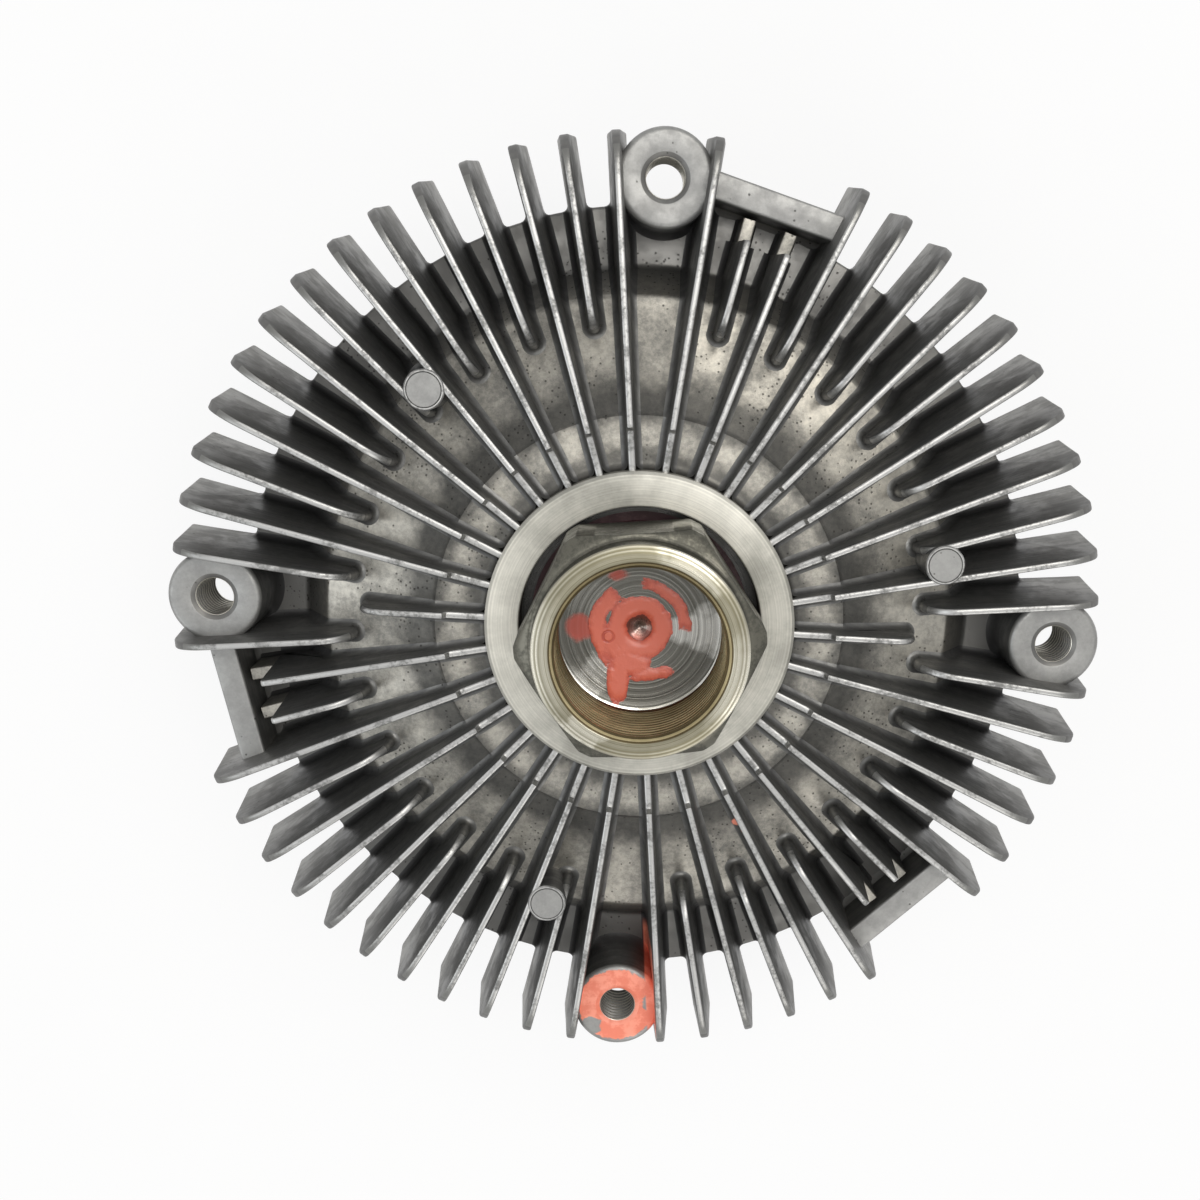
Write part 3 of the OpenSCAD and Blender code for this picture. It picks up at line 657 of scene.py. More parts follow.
@dataclass(frozen=True)
class CastFinish(Finish):
    """Die-cast aluminium with stains and pits, painted shade in rings on the dome and in low recesses, and
    painted light on fin sides past the rim.
    """

    name: str
    light: Colour
    dark: Colour
    # Painted shade: colour that the surface darkens to in low recesses, over the range of deep_levels.
    deep: Colour
    metallic: float
    roughness: Point2
    stain_size: float = 9.0
    pits: float = 0.12
    deep_levels: Point2 = (-14.0, -2.0)
    grain: float = 0.25
    # Share of the painted shade in rings on the dome and beside the fins.
    soot: float = 0.0
    speck: float = 0.3
    drawn: float = 0.0
    # Painted light: colours of the fin sides past the rim, at the back and at the front edge.
    past_rim: tuple[Colour, Colour] | None = None

    def build(self, effects: SharedEffects) -> Material:
        """Makes the material.

        Args:
            effects: Shared node groups.

        Returns:
            The material.
        """
        material, desk, shader = self.start()
        cast = desk.group(effects.cast_grain, Stain_Size=self.stain_size, Pits=self.pits)
        marks = desk.group(effects.paint_marks, Ragged=0.7)["Mask"]
        rings = desk.group(effects.dome_soot, Ragged=5.0)
        height = desk.split(desk.places())[2]
        patch = desk.blend(self.speck, cast["Stain"], cast["Speck"])
        if self.drawn:
            along = desk.put("ShaderNodeCombineXYZ", {"X": desk.times(rings["Radius"], 0.05), "Y": height})
            streaks = desk.ramp(desk.noise(along.outputs[0], 0.9, 3.0, 0.6), 0.34, 0.66)
            patch = desk.blend(self.drawn, patch, streaks)
        tone = desk.mix(patch, self.dark, self.light)
        # Painted shade: darker towards the low recesses, such as the rim floor between the fins.
        tone = desk.mix(desk.ramp(height, *self.deep_levels, 1.0, 0.0), tone, self.deep)
        # Painted shade: darkens the dome in rings near the collar and in the valleys by the fins.
        tone = desk.mix(desk.times(rings["Soot"], self.soot), tone, PAINTED_SHADE)
        # Painted light: fin sides past the housing's rim are lighter, as light reaches them from behind, and
        # darker towards the front edge.
        if self.past_rim is not None:
            outer = desk.mix(desk.ramp(height, -13.0, 4.0), *self.past_rim)
            outer = desk.mix(desk.ramp(patch, 0.0, 1.0, 0.5, 0.0), outer, self.dark)
            tone = desk.mix(desk.ramp(rings["Radius"], 71.5, 75.0), tone, outer)
        tone = desk.mix(desk.times(cast["Pit"], 0.75), tone, PIT_DIRT)
        coat = desk.mix(desk.ramp(cast["Stain"], 0.2, 0.8), *MARK_PAINT)
        relief = desk.plus(cast["Height"], desk.times(marks, 0.5))
        desk.wire(shader, {
            "Base Color": desk.mix(marks, tone, coat), "Roughness": self.rough(desk, cast["Stain"]),
            "Metallic": desk.ramp(marks, 0.0, 1.0, self.metallic, 0.0),
            "Normal": desk.bump(relief, self.grain, 0.12)})
        return material


@dataclass(frozen=True)
class WornFinish(Finish):
    """Bare metal or rubber rubbed bright, with darker broken patches."""

    name: str
    bright: Colour
    dull: Colour
    metallic: float
    roughness: Point2
    amount: float = 0.55
    fade_r: Point2 | None = None
    faded: Colour = (0.2, 0.2, 0.19)
    relief: Point2 = (0.2, 0.1)

    def build(self, effects: SharedEffects) -> Material:
        """Makes the material.

        Args:
            effects: Shared node groups.

        Returns:
            The material.
        """
        material, desk, shader = self.start()
        worn = desk.group(effects.worn_edges, Amount=self.amount)
        tone = desk.mix(worn["Rub"], self.dull, self.bright)
        if self.fade_r is not None:
            radius = desk.group(effects.dome_soot, Ragged=0.0)["Radius"]
            tone = desk.mix(desk.ramp(radius, *self.fade_r), tone, self.faded)
        desk.wire(shader, {
            "Base Color": tone, "Roughness": self.rough(desk, worn["Rub"]), "Metallic": self.metallic,
            "Normal": desk.bump(worn["Height"], *self.relief)})
        return material


@dataclass(frozen=True)
class Sheen:
    """Painted highlight: a bright streak across a turned face."""

    angle: float
    width: float
    strength: float

    def over(self, share: Socket, desk: NodeDesk, effects: SharedEffects) -> Socket:
        """Adds the streak to a share of bright metal."""
        streak = desk.group(effects.turned_sheen, Angle=self.angle, Width=self.width)["Sheen"]
        return desk.math("ADD", share, desk.times(streak, self.strength), clamp=True)


@dataclass(frozen=True)
class TurnedFinish(Finish):
    """Turned metal with fine rings, faint stains and painted highlight streaks."""

    name: str
    bright: Colour
    dull: Colour
    metallic: float
    roughness: Point2
    feed: float = 0.35
    cut: float = 0.12
    stain_size: float = 7.0
    line_share: float = 0.45
    base_share: float = 0.5
    line_floor: float = 0.7
    sheens: tuple[Sheen, ...] = ()

    def build(self, effects: SharedEffects) -> Material:
        """Makes the material.

        Args:
            effects: Shared node groups.

        Returns:
            The material.
        """
        material, desk, shader = self.start()
        rings = desk.group(effects.turned_lines, Feed=self.feed)
        cast = desk.group(effects.cast_grain, Stain_Size=self.stain_size, Pits=0.02)
        share = desk.blend(self.line_share, cast["Stain"], rings["Lines"])
        if self.sheens:
            share = desk.times(share, self.base_share)
            # Painted highlight: bright streaks at given angles over the turned lines.
            for sheen in self.sheens:
                share = sheen.over(share, desk, effects)
            share = desk.times(share, desk.ramp(rings["Lines"], 0.0, 1.0, self.line_floor, 1.0))
        desk.wire(shader, {
            "Base Color": desk.mix(share, self.dull, self.bright), "Roughness": self.rough(desk, share),
            "Metallic": self.metallic, "Normal": desk.bump(rings["Height"], self.cut, 0.08)})
        return material


@dataclass(frozen=True)
class PaintedFloorFinish(Finish):
    """Turned floor of the nut's socket with swirls of marking paint and painted highlight streaks."""

    name: str
    bright: Colour
    dull: Colour
    paint: Colour
    thin_paint: Colour
    roughness: Point2
    sheens: tuple[Sheen, ...]

    def build(self, effects: SharedEffects) -> Material:
        """Makes the material.

        Args:
            effects: Shared node groups.

        Returns:
            The material.
        """
        material, desk, shader = self.start()
        rings = desk.group(effects.turned_lines, Feed=0.6)
        share = desk.times(rings["Lines"], 0.24)
        # Painted highlight: bright streaks at given angles across the floor's steel.
        for sheen in self.sheens:
            share = sheen.over(share, desk, effects)
        share = desk.times(share, desk.ramp(rings["Lines"], 0.0, 1.0, 0.5, 1.0))
        mask, thick = self.swirl(desk)
        steel = desk.mix(share, self.dull, self.bright)
        shade = desk.mix(desk.ramp(thick, 0.0, 0.9), self.thin_paint, self.paint)
        blank = desk.minus(1.0, mask)
        rough = desk.plus(desk.times(self.rough(desk, share), blank), desk.times(mask, 0.2))
        relief = desk.plus(desk.times(rings["Height"], blank, 0.25), desk.times(mask, thick))
        desk.wire(shader, {
            "Base Color": desk.mix(mask, steel, shade), "Roughness": rough,
            "Metallic": desk.ramp(mask, 0.0, 1.0, 0.92, 0.0), "Normal": desk.bump(relief, 0.4, 0.4)})
        return material

    @staticmethod
    def swirl(desk: NodeDesk) -> tuple[Socket, Socket]:
        """Paint in a ring round the centre mark, with three arms, smears and a run.

        Args:
            desk: Desk of the material.

        Returns:
            The mask and the paint's thickness.
        """
        place = desk.places()
        x, y, _ = desk.split(place)
        cloud = desk.minus(desk.noise(place, 0.42, 4.0, 0.6), 0.5)
        radius = desk.reach(x, y)
        angle = desk.math("ARCTAN2", y, x)

        def arm(middle: float, half: float, along: float, spread: float) -> Socket:
            """Crescent with tapered ends.

            Args:
                middle: Radius of its middle line.
                half: Half of its width.
                along: Angle of its middle in degrees.
                spread: Half of its length in degrees.

            Returns:
                Depth inside its edge in millimetres.
            """
            turn = desk.math("COSINE", desk.minus(angle, math.radians(along)))
            end, side = polar(1.0, spread)
            reach = desk.times(desk.minus(turn, end), 0.45 * middle / side)
            return desk.math("MINIMUM", desk.minus(half, desk.apart(radius, middle)), reach)

        def blot(cx: float, cy: float, wide: float, high: float, lean: float = 0.0) -> Socket:
            """Oval of paint.

            Args:
                cx: Middle across.
                cy: Middle up.
                wide: Half of its width.
                high: Half of its height.
                lean: Rise for each millimetre across.

            Returns:
                Depth inside its edge in millimetres.
            """
            dx = desk.minus(x, cx)
            dy = desk.minus(desk.minus(y, cy), desk.times(dx, lean))
            far = desk.reach(desk.math("DIVIDE", dx, wide), desk.math("DIVIDE", dy, high))
            return desk.times(desk.minus(1.0, far), min(wide, high))

        def merged(marks: Sequence[Socket], soft: float) -> Socket:
            """Depth inside marks that run together over a soft width."""
            return reduce(lambda whole, mark: desk.math("SMOOTH_MAX", whole, mark, soft), marks)

        ring = desk.minus(1.75, desk.apart(radius, 3.95))
        marks = [ring, arm(7.5, 1.5, 178.0, 52.0), arm(5.9, 1.6, 218.0, 42.0), arm(7.95, 1.1, 46.0, 44.0),
                 blot(-3.3, -9.6, 2.1, 4.6), blot(2.4, -8.3, 4.2, 1.25, 0.2), blot(-1.6, -6.4, 3.8, 2.3)]
        smears = [blot(-10.9, -0.4, 2.1, 2.4), blot(-9.4, -1.2, 2.4, 1.2), blot(-4.4, 9.3, 1.5, 0.9)]
        ragged = desk.times(cloud, 1.5)
        whole = desk.plus(merged(marks, 0.7), ragged)
        thick_mask = desk.ramp(whole, -0.08, 0.14)
        smear = desk.ramp(desk.plus(merged(smears, 0.8), ragged), -0.5, 0.8, 0.0, 0.75)
        bubble = desk.reach(desk.minus(x, -5.5), desk.minus(y, -1.9))
        dent = desk.ramp(desk.apart(bubble, 0.95), 0.1, 0.34, 0.75, 0.0)
        depth = desk.minus(desk.ramp(whole, -0.1, 1.1, 0.25, 1.0), dent)
        depth = desk.times(desk.plus(depth, desk.times(cloud, 0.5)), thick_mask)
        centre = desk.ramp(desk.plus(radius, ragged), 0.6, 2.6, 0.1, 0.45)
        centre = desk.times(centre, desk.math("LESS_THAN", radius, 2.4))
        return desk.most(thick_mask, smear, centre), depth


class FinishShelf:
    """All finishes of the clutch, each built once."""

    def __init__(self) -> None:
        """Builds the shared effects and the finishes."""
        fx = SharedEffects()
        self.skin = CastFinish(
            "cast_skin", (0.51, 0.485, 0.425), (0.21, 0.206, 0.19), (0.19, 0.188, 0.18), 0.75, (0.34, 0.52),
            pits=0.22, soot=0.82, speck=0.42).build(fx)
        # Painted shade: the fin sides are a darker copy of the cast skin, standing in for the shade between
        # the fins.
        self.fin_side = CastFinish(
            "cast_fin_side", (0.22, 0.22, 0.211), (0.105, 0.106, 0.107), (0.095, 0.095, 0.096), 0.7,
            (0.38, 0.55), stain_size=6.0, pits=0.03, speck=0.15, drawn=0.5,
            past_rim=((0.27, 0.264, 0.245), (0.16, 0.158, 0.152))).build(fx)
        # Worn edges, and painted highlight: the upward-facing fin edges are lighter than the sides, fading to
        # the side's tone towards the fins' outer ends.
        self.fin_edge = WornFinish(
            "rubbed_fin_edge", (0.45, 0.45, 0.44), (0.19, 0.19, 0.185), 0.8, (0.34, 0.48),
            fade_r=(74.0, 81.0)).build(fx)
        # Painted highlight: streaks on the collar at two angles.
        self.turned = TurnedFinish(
            "turned_collar", (0.84, 0.82, 0.735), (0.31, 0.305, 0.272), 0.65, (0.36, 0.48), line_share=0.3,
            base_share=0.45, line_floor=0.85,
            sheens=(Sheen(66.0, 38.0, 0.62), Sheen(186.0, 60.0, 0.34))).build(fx)
        self.cover_skin = CastFinish(
            "cover_skin", (0.46, 0.44, 0.40), (0.22, 0.215, 0.205), (0.09, 0.09, 0.09), 0.75, (0.34, 0.52),
            deep_levels=(-28.0, -32.0)).build(fx)
        # Painted shade: a darker copy of the cover's skin for its fin sides.
        self.cover_fin_side = CastFinish(
            "cover_fin_side", (0.20, 0.20, 0.195), (0.10, 0.10, 0.105), (0.07, 0.07, 0.072), 0.7,
            (0.38, 0.55), stain_size=6.0, pits=0.03, deep_levels=(-28.0, -40.0)).build(fx)
        self.lug_face = CastFinish(
            "milled_lug_face", (0.335, 0.335, 0.325), (0.25, 0.25, 0.245), (0.13, 0.13, 0.13), 0.7,
            (0.38, 0.50), stain_size=4.0, pits=0.03, deep_levels=(-9.0, -4.0)).build(fx)
        self.lug_thread = TurnedFinish(
            "cut_lug_thread", (0.95, 0.92, 0.83), (0.62, 0.59, 0.51), 0.9, (0.28, 0.42), feed=0.6).build(fx)
        # Painted shade: the nut's flats are kept dark to stand in for the dark surroundings they reflect.
        self.nut_flat = WornFinish(
            "plated_nut_flat", (0.145, 0.14, 0.115), (0.085, 0.083, 0.069), 0.85, (0.30, 0.46), 0.5).build(fx)
        # Painted highlight: streaks round the nut's front ring.
        self.nut_front = TurnedFinish(
            "plated_nut_front", (0.80, 0.77, 0.66), (0.17, 0.156, 0.10), 0.92, (0.22, 0.40), feed=0.5,
            cut=0.25, line_share=0.75, base_share=0.32, line_floor=0.35,
            sheens=(Sheen(186.0, 40.0, 0.4), Sheen(-14.0, 36.0, 0.6), Sheen(62.0, 24.0, 0.5),
                    Sheen(236.0, 16.0, 0.65))).build(fx)
        self.nut_thread = TurnedFinish(
            "plated_nut_thread", (0.60, 0.51, 0.30), (0.34, 0.28, 0.15), 0.92, (0.24, 0.42),
            feed=0.7).build(fx)
        # Painted shade: the thread's grooves and the socket's relief wall are dark.
        self.nut_groove = TurnedFinish(
            "stained_thread_groove", (0.14, 0.105, 0.05), (0.06, 0.045, 0.022), 0.8, (0.34, 0.50),
            feed=0.7).build(fx)
        # Painted highlight: bright arcs on the socket floor's rim.
        self.floor_rim = TurnedFinish(
            "polished_floor_rim", (0.88, 0.87, 0.82), (0.26, 0.25, 0.21), 0.95, (0.16, 0.30), feed=0.3,
            sheens=(Sheen(226.0, 26.0, 0.8), Sheen(258.0, 16.0, 0.5), Sheen(-18.0, 32.0, 0.6))).build(fx)
        # Painted highlight: streaks across the socket floor's steel.
        self.socket_floor = PaintedFloorFinish(
            "painted_socket_floor", (0.56, 0.55, 0.51), (0.092, 0.089, 0.076), (1.0, 0.235, 0.15),
            (0.70, 0.11, 0.07), (0.14, 0.28),
            (Sheen(2.0, 24.0, 0.95), Sheen(228.0, 20.0, 0.7), Sheen(150.0, 24.0, 0.12))).build(fx)
        self.maroon_rubber = WornFinish(
            "maroon_seal_rubber", (0.085, 0.034, 0.038), (0.055, 0.020, 0.024), 0.0, (0.42, 0.62), 0.45,
            relief=(0.15, 0.08)).build(fx)
        self.black_rubber = WornFinish(
            "black_seal_rubber", (0.035, 0.035, 0.034), (0.018, 0.018, 0.018), 0.0, (0.40, 0.60), 0.45,
            relief=(0.15, 0.08)).build(fx)
        self.ground_steel = TurnedFinish(
            "ground_steel", (0.66, 0.66, 0.66), (0.50, 0.50, 0.50), 0.95, (0.16, 0.28), feed=0.3,
            cut=0.05).build(fx)
        # Oil stain and painted shade: the bearing's outer ring is dark, as it lies in the shadow of the
        # collar.
        self.oiled_steel = TurnedFinish(
            "oiled_ring_steel", (0.10, 0.098, 0.094), (0.05, 0.05, 0.048), 0.9, (0.24, 0.38),
            feed=0.3).build(fx)
        self.sheet_steel = WornFinish(
            "plated_sheet", (0.60, 0.60, 0.58), (0.42, 0.42, 0.40), 0.9, (0.28, 0.44), 0.55).build(fx)
        self.spring_steel = WornFinish(
            "blued_spring", (0.24, 0.25, 0.28), (0.11, 0.12, 0.14), 0.9, (0.26, 0.42), 0.5).build(fx)
        self.bimetal = WornFinish(
            "rolled_bimetal", (0.58, 0.49, 0.36), (0.36, 0.31, 0.24), 0.92, (0.26, 0.40), 0.55).build(fx)
        self.brass = TurnedFinish(
            "turned_brass", (0.74, 0.55, 0.24), (0.52, 0.37, 0.15), 0.95, (0.20, 0.36), feed=0.4).build(fx)
        self.turned_plate = TurnedFinish(
            "turned_rotor", (0.72, 0.72, 0.71), (0.55, 0.55, 0.54), 0.9, (0.24, 0.38), feed=0.5).build(fx)


@dataclass(frozen=True)
class BodyProfile:
    """Turned outline of a casting, from its middle to its edge, with the outside above."""

    points: tuple[Point2, ...]

    def track(self, first: int, last: int) -> list[Track]:
        """Outline between two points, with the direction that faces outwards.

        Args:
            first: Index of the first point.
            last: Index of the last point.

        Returns:
            Radius, height and the two parts of the outward normal.
        """
        found = []
        for i in range(first, last + 1):
            dr, dz = heading(self.points, i)
            found.append((*self.points[i], -dz, dr))
        return found

    def height(self, radius: float, first: int, last: int) -> float:
        """Height of the outline at a radius.

        Args:
            radius: Radius to look up.
            first: Index of the first point to look at.
            last: Index of the last point to look at.

        Returns:
            The height.
        """
        for one, two in zip(self.points[first:last], self.points[first + 1:last + 1]):
            if one[0] <= radius <= two[0] and two[0] > one[0]:
                return one[1] + (two[1] - one[1]) * (radius - one[0]) / (two[0] - one[0])
        return self.points[last][1]


@dataclass(frozen=True)
class FinForm:
    """Section of a cast fin, which thickens from its edge to its back."""

    edge_t: float
    back_t: float
    edge_z: float
    back_z: float
    edge_round: float
    root_round: float

    def half(self, z: float) -> float:
        """Half of the thickness at a height."""
        share = (self.edge_z - z) / (self.edge_z - self.back_z)
        return (self.edge_t + (self.back_t - self.edge_t) * share) / 2.0

    @staticmethod
    def place(r: float, y: float, z: float) -> Point3:
        """Point at a radius from the shaft and a distance from the fin's middle."""
        return (math.sqrt(max(r * r - y * y, 0.0)), y, z)

    def draw(self, outline: Sequence[Station],
             root: Sequence[Track], noses: tuple[bool, bool]) -> MeshDraft:
        """Draws one fin along the X axis.

        Args:
            outline: Radius, height, share of full rounding and look, from the inner end to the back.
            root: Track of the wall that carries the fin, from the inner end to the back.
            noses: Whether the root's fillet runs round the inner and the outer end.

        Returns:
            The fin's draft.
        """
        draft = MeshDraft()
        rows = []
        for i, (r, z, share, _) in enumerate(outline):
            dr, dz = heading(outline, i)
            half = self.half(z)
            soft = self.edge_round + (half - self.edge_round) * share
            right = []
            for turn in EDGE_TURNS:
                sink = soft * (1.0 - math.sin(math.radians(turn)))
                out = half - soft + soft * math.cos(math.radians(turn))
                right.append((r + dz * sink, out, z - dr * sink))
            row = right + [(pr, -out, pz) for pr, out, pz in reversed(right)]
            rows.append(draft.add(self.place(*p) for p in row))
        last = 2 * len(EDGE_TURNS) - 1
        for one, two, (*_, look) in zip(rows, rows[1:], outline):
            for k in range(last):
                worn = look if 0 < k < last - 1 else CastLook.FIN_SIDE
                draft.face((one[k], one[k + 1], two[k + 1], two[k]), worn)
        for way, column in ((1.0, 0), (-1.0, last)):
            self._side(draft, root, [row[column] for row in rows], way)
        if noses[0]:
            self._nose(draft, outline[0][0], root[0], 1.0)
        if noses[1]:
            self._nose(draft, outline[-1][0], root[-1], -1.0)
        return draft

    def _fillet(self) -> list[Point2]:
        """Flare past the fin's side and lift off the wall along the fillet at the root."""
        soft = self.root_round
        return arc((soft, soft), soft, 180.0, 270.0, ROOT_STEPS)

    def _side(self, draft: MeshDraft, root: Sequence[Track], rim: Sequence[int], way: float) -> None:
        """Draws one side of a fin and its root fillet.

        Args:
            draft: Draft to draw in.
            root: Track of the carrying wall.
            rim: Points along the fin's outline.
            way: 1 or -1 for the side.
        """
        rows = []
        for r, z, out_r, out_z in root:
            row = []
            for flare, lift in self._fillet():
                at_r, at_z = r + out_r * lift, z + out_z * lift
                out = way * (self.half(at_z) + flare)
                row.append(self.place(at_r, out, at_z - ROOT_SINK * (lift == 0.0)))
            rows.append(draft.add(row))
        draft.skin(rows, [CastLook.FIN_SIDE] * ROOT_STEPS, flip=way > 0)
        flat = list(rim) + [row[0] for row in reversed(rows)]
        draft.face(flat[::-1] if way < 0 else flat, CastLook.FIN_SIDE, flat=True)

    def _nose(self, draft: MeshDraft, tip: float, root: Track, way: float) -> None:
        """Draws the fillet round one end of a fin.

        Args:
            draft: Draft to draw in.
            tip: Radius of the end.
            root: Place of the root's track at that end.
            way: 1 for the inner end, -1 for the outer one.
        """
        _, z, out_r, out_z = root
        lean = -out_r / out_z
        half = self.half(z)
        rows = []
        for bend in between(90.0, 270.0, 10):
            row = []
            for flare, lift in self._fillet():
                x, y = polar(half + flare, bend)
                along = tip + way * (half + x)
                level = z + lean * (along - root[0]) + lift - ROOT_SINK * (lift == 0.0)
                row.append((along, way * y, level))
            rows.append(draft.add(row))
        draft.skin(rows, [CastLook.FIN_SIDE] * ROOT_STEPS)


@dataclass
class RearHousing:
    """Finned casting on the nut side, with its collar, lugs, balance lands and bosses."""

    collar_z: float = field(init=False)
    rim_low: float = field(init=False)
    lug_circle: float = field(init=False)
    collar_r: float = 27.45
    lip_r: float = 21.4
    band_r: float = 36.7
    band_z: float = 1.4
    band_step: float = 0.8
    shoulder_r: float = 57.4
    shoulder_z: float = -4.4
    foot_r: float = 61.2
    rim_r: float = 72.3
    rim_z: float = -13.0
    bevel: float = 0.5
    round_r: float = 1.5
    fin_pitch: float = 6.0
    fin_top: float = 5.8
    fin_low: float = -15.5
    fin_r: float = 83.6
    fin_splay: float = 1.0
    fin_corner: float = 7.0
    blunt_corner: float = 4.0
    short_r: float = 51.0
    short_sweep: float = 6.5
    step_r: float = 34.3
    step_h: float = 1.3
    cut_r: float = 68.2
    lug_r: float = 8.29
    lug_low: float = -14.0
    lug_core: float = 3.325
    lug_thread: Point2 = (0.5, 1.25)
    lug_sink: float = 0.85
    bar_r: float = 75.3
    bar_half: float = 2.3
    bar_z: float = -2.3
    stub_len: float = 3.9
    stub_half: float = 1.15
    stub_z: float = -4.3
    ejector_circle: float = 55.0
    ejector_r: float = 3.5
    ejector_z: float = 6.1
    lug_angles: tuple[float, ...] = (0.0, 90.0, 180.0, 270.0)
    bar_angles: tuple[float, ...] = (75.0, 195.0, 315.0)
    ejector_angles: tuple[float, ...] = (15.0, 135.0, 255.0)
    blunt_angles: tuple[float, ...] = (0.0, 180.0)
    body_steps: int = 300
    lug_steps: int = 72
    lug_thread_steps: int = 40
    boss_steps: int = 48
    chamber: tuple[Point2, ...] = (
        (64.1, -28.27), (66.5, -28.27), (66.5, -23.75), (64.0, -23.75), (64.0, -16.6), (54.2, -16.6),
        (54.2, -9.8), (28.5, -9.8), (28.5, -18.75), (23.52, -18.75), (23.52, -17.29), (24.82, -17.29),
        (24.82, -15.5), (23.52, -15.5), (23.52, -1.5))

    def __post_init__(self) -> None:
        """Takes the outer sizes from the frame and works out the profile."""
        low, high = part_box("rear_housing")
        self.rim_low = low[2] / MM
        self.collar_z = high[2] / MM
        self.lug_circle = frame["record"]["mounts"][1]["dims"]["pcd_mm"] / 2.0
        self.profile = BodyProfile(tuple(self.outer_points()))
        self.form = FinForm(edge_t=1.15, back_t=3.4, edge_z=self.fin_top, back_z=self.fin_low,
                            edge_round=0.36, root_round=1.15)

    def outer_points(self) -> list[Point2]:
        """Outside of the casting from the collar's top to its lower edge."""
        b, c = self.bevel, self.round_r
        return [
            (self.collar_r - b, self.collar_z), (self.collar_r, self.collar_z - b),
            *arc((self.collar_r + c, self.band_z + c), c, 180, 270),
            (self.band_r, self.band_z), (self.band_r + self.band_step, self.band_z - self.band_step),
            *arc((self.shoulder_r - c, self.shoulder_z - c), c, 80, 20),
            *arc((self.foot_r + c, self.rim_z + c), c, 200, 270),
            *arc((self.rim_r - b, self.rim_z - b), b, 90, 0, 4),
            (self.rim_r, self.fin_low),
            *arc((self.rim_r - c, self.rim_low + c), c, 0, -90),
        ]

    def inner_points(self) -> list[Point2]:
        """Inside of the casting from the rolled edge up to the collar's lip."""
        lip = arc((self.lip_r + 0.3, self.collar_z - 0.3), 0.3, 180, 90, 4)
        return [(self.chamber[0][0], self.rim_low), *self.chamber, (self.lip_r, self.chamber[-1][1]), *lip]

    def body(self, draft: MeshDraft) -> None:
        """Draws the turned body.

        Args:
            draft: Draft of the whole casting.
        """
        outer, inner = list(self.profile.points), self.inner_points()
        loop = outer + inner + outer[:1]
        looks = []
        for one, two in zip(loop, loop[1:]):
            mid_r, mid_z = (one[0] + two[0]) / 2.0, (one[1] + two[1]) / 2.0
            turned = mid_r < self.collar_r + 0.01 and mid_z > self.band_z + 2.2
            inside = mid_z < self.rim_low + 0.01 or (mid_r < self.rim_r - 0.1 and mid_z < self.rim_z - 2.0)
            bored = inside and mid_r < self.chamber[0][0] + 0.1
            looks.append(CastLook.TURNED if turned or bored else CastLook.SKIN)
        draft.revolve(loop[::-1], looks[::-1], self.body_steps)

    def root_bounds(self) -> tuple[int, int]:
        """Indices of the profile's points at the collar's foot and at the fins' back."""
        at_back = (r > self.rim_r - 0.01 and z <= self.fin_low for r, z in self.profile.points)
        return COLLAR_FOOT, list(at_back).index(True)

    def back_outline(self, end_r: float) -> list[Station]:
        """Outline of a fin from its outer corner down and along its back.

        Args:
            end_r: Radius where the fin ends.

        Returns:
            Stations with radius, height, rounding and look.
        """
        edge, side = CastLook.FIN_EDGE, CastLook.FIN_SIDE
        if end_r < self.rim_r:
            corner = arc((end_r - 1.0, self.fin_top - 1.0), 1.0, 90, 0, 4)
            fall = [(end_r, z) for z in between(self.fin_top - 1.5, self.rim_z - 0.3, 3)]
            return stations(corner, edge) + stations(fall, side)
        bend = self.fin_corner
        corner = arc((self.fin_r - bend, self.fin_top - bend), bend, 90, 0, 12)
        fall = [(self.fin_r + self.fin_splay * 0.5, (corner[-1][1] + self.fin_low) / 2.0)]
        fall += arc((self.fin_r + self.fin_splay - 0.6, self.fin_low + 0.6), 0.6, 0, -90, 4)
        fall.append((self.rim_r - 0.3, self.fin_low))
        return stations(corner[:5], edge) + stations(corner[5:] + fall, side)

    def stepped_edge(self) -> list[Station]:
        """Start of a fin at the collar, stepped down where the collar's tool ran over it."""
        r, rise, low = self.step_r, self.step_h, self.fin_top - self.step_h
        return stations([(self.collar_r - 0.3, low), (r - 0.4, low), (r, low + 0.1),
                         (r + rise / 2.0, self.fin_top), (r + rise, self.fin_top)], CastLook.FIN_EDGE)

    def long_fin(self, end_r: float) -> MeshDraft:
        """Fin from the collar outwards.

        Args:
            end_r: Radius where the fin ends.

        Returns:
            The fin's draft.
        """
        outline = self.stepped_edge() + self.back_outline(end_r)
        return self.form.draw(outline, self.root_track(self.collar_r, end_r), (False, False))

    def short_fin(self, end_r: float) -> MeshDraft:
        """Fin that sweeps up out of the dome.

        Args:
            end_r: Radius where the fin ends.

        Returns:
            The fin's draft.
        """
        side, edge = CastLook.FIN_SIDE, CastLook.FIN_EDGE
        first, last = self.root_bounds()
        floor = self.profile.height(self.short_r, first, last)
        sweep = self.short_sweep
        rise = arc((self.short_r + sweep, self.fin_top - sweep), sweep, 180, 90, 10)
        start = [(self.short_r, floor + 0.4, 1.0, side)]
        for i, (r, z) in enumerate(rise):
            share = max(0.0, 1.0 - i / 7.0)
            start.append((r, z, share, edge if i > 2 else side))
        track = self.root_track(self.short_r + self.form.half(floor), end_r)
        return self.form.draw(start + self.back_outline(end_r), track, (True, False))

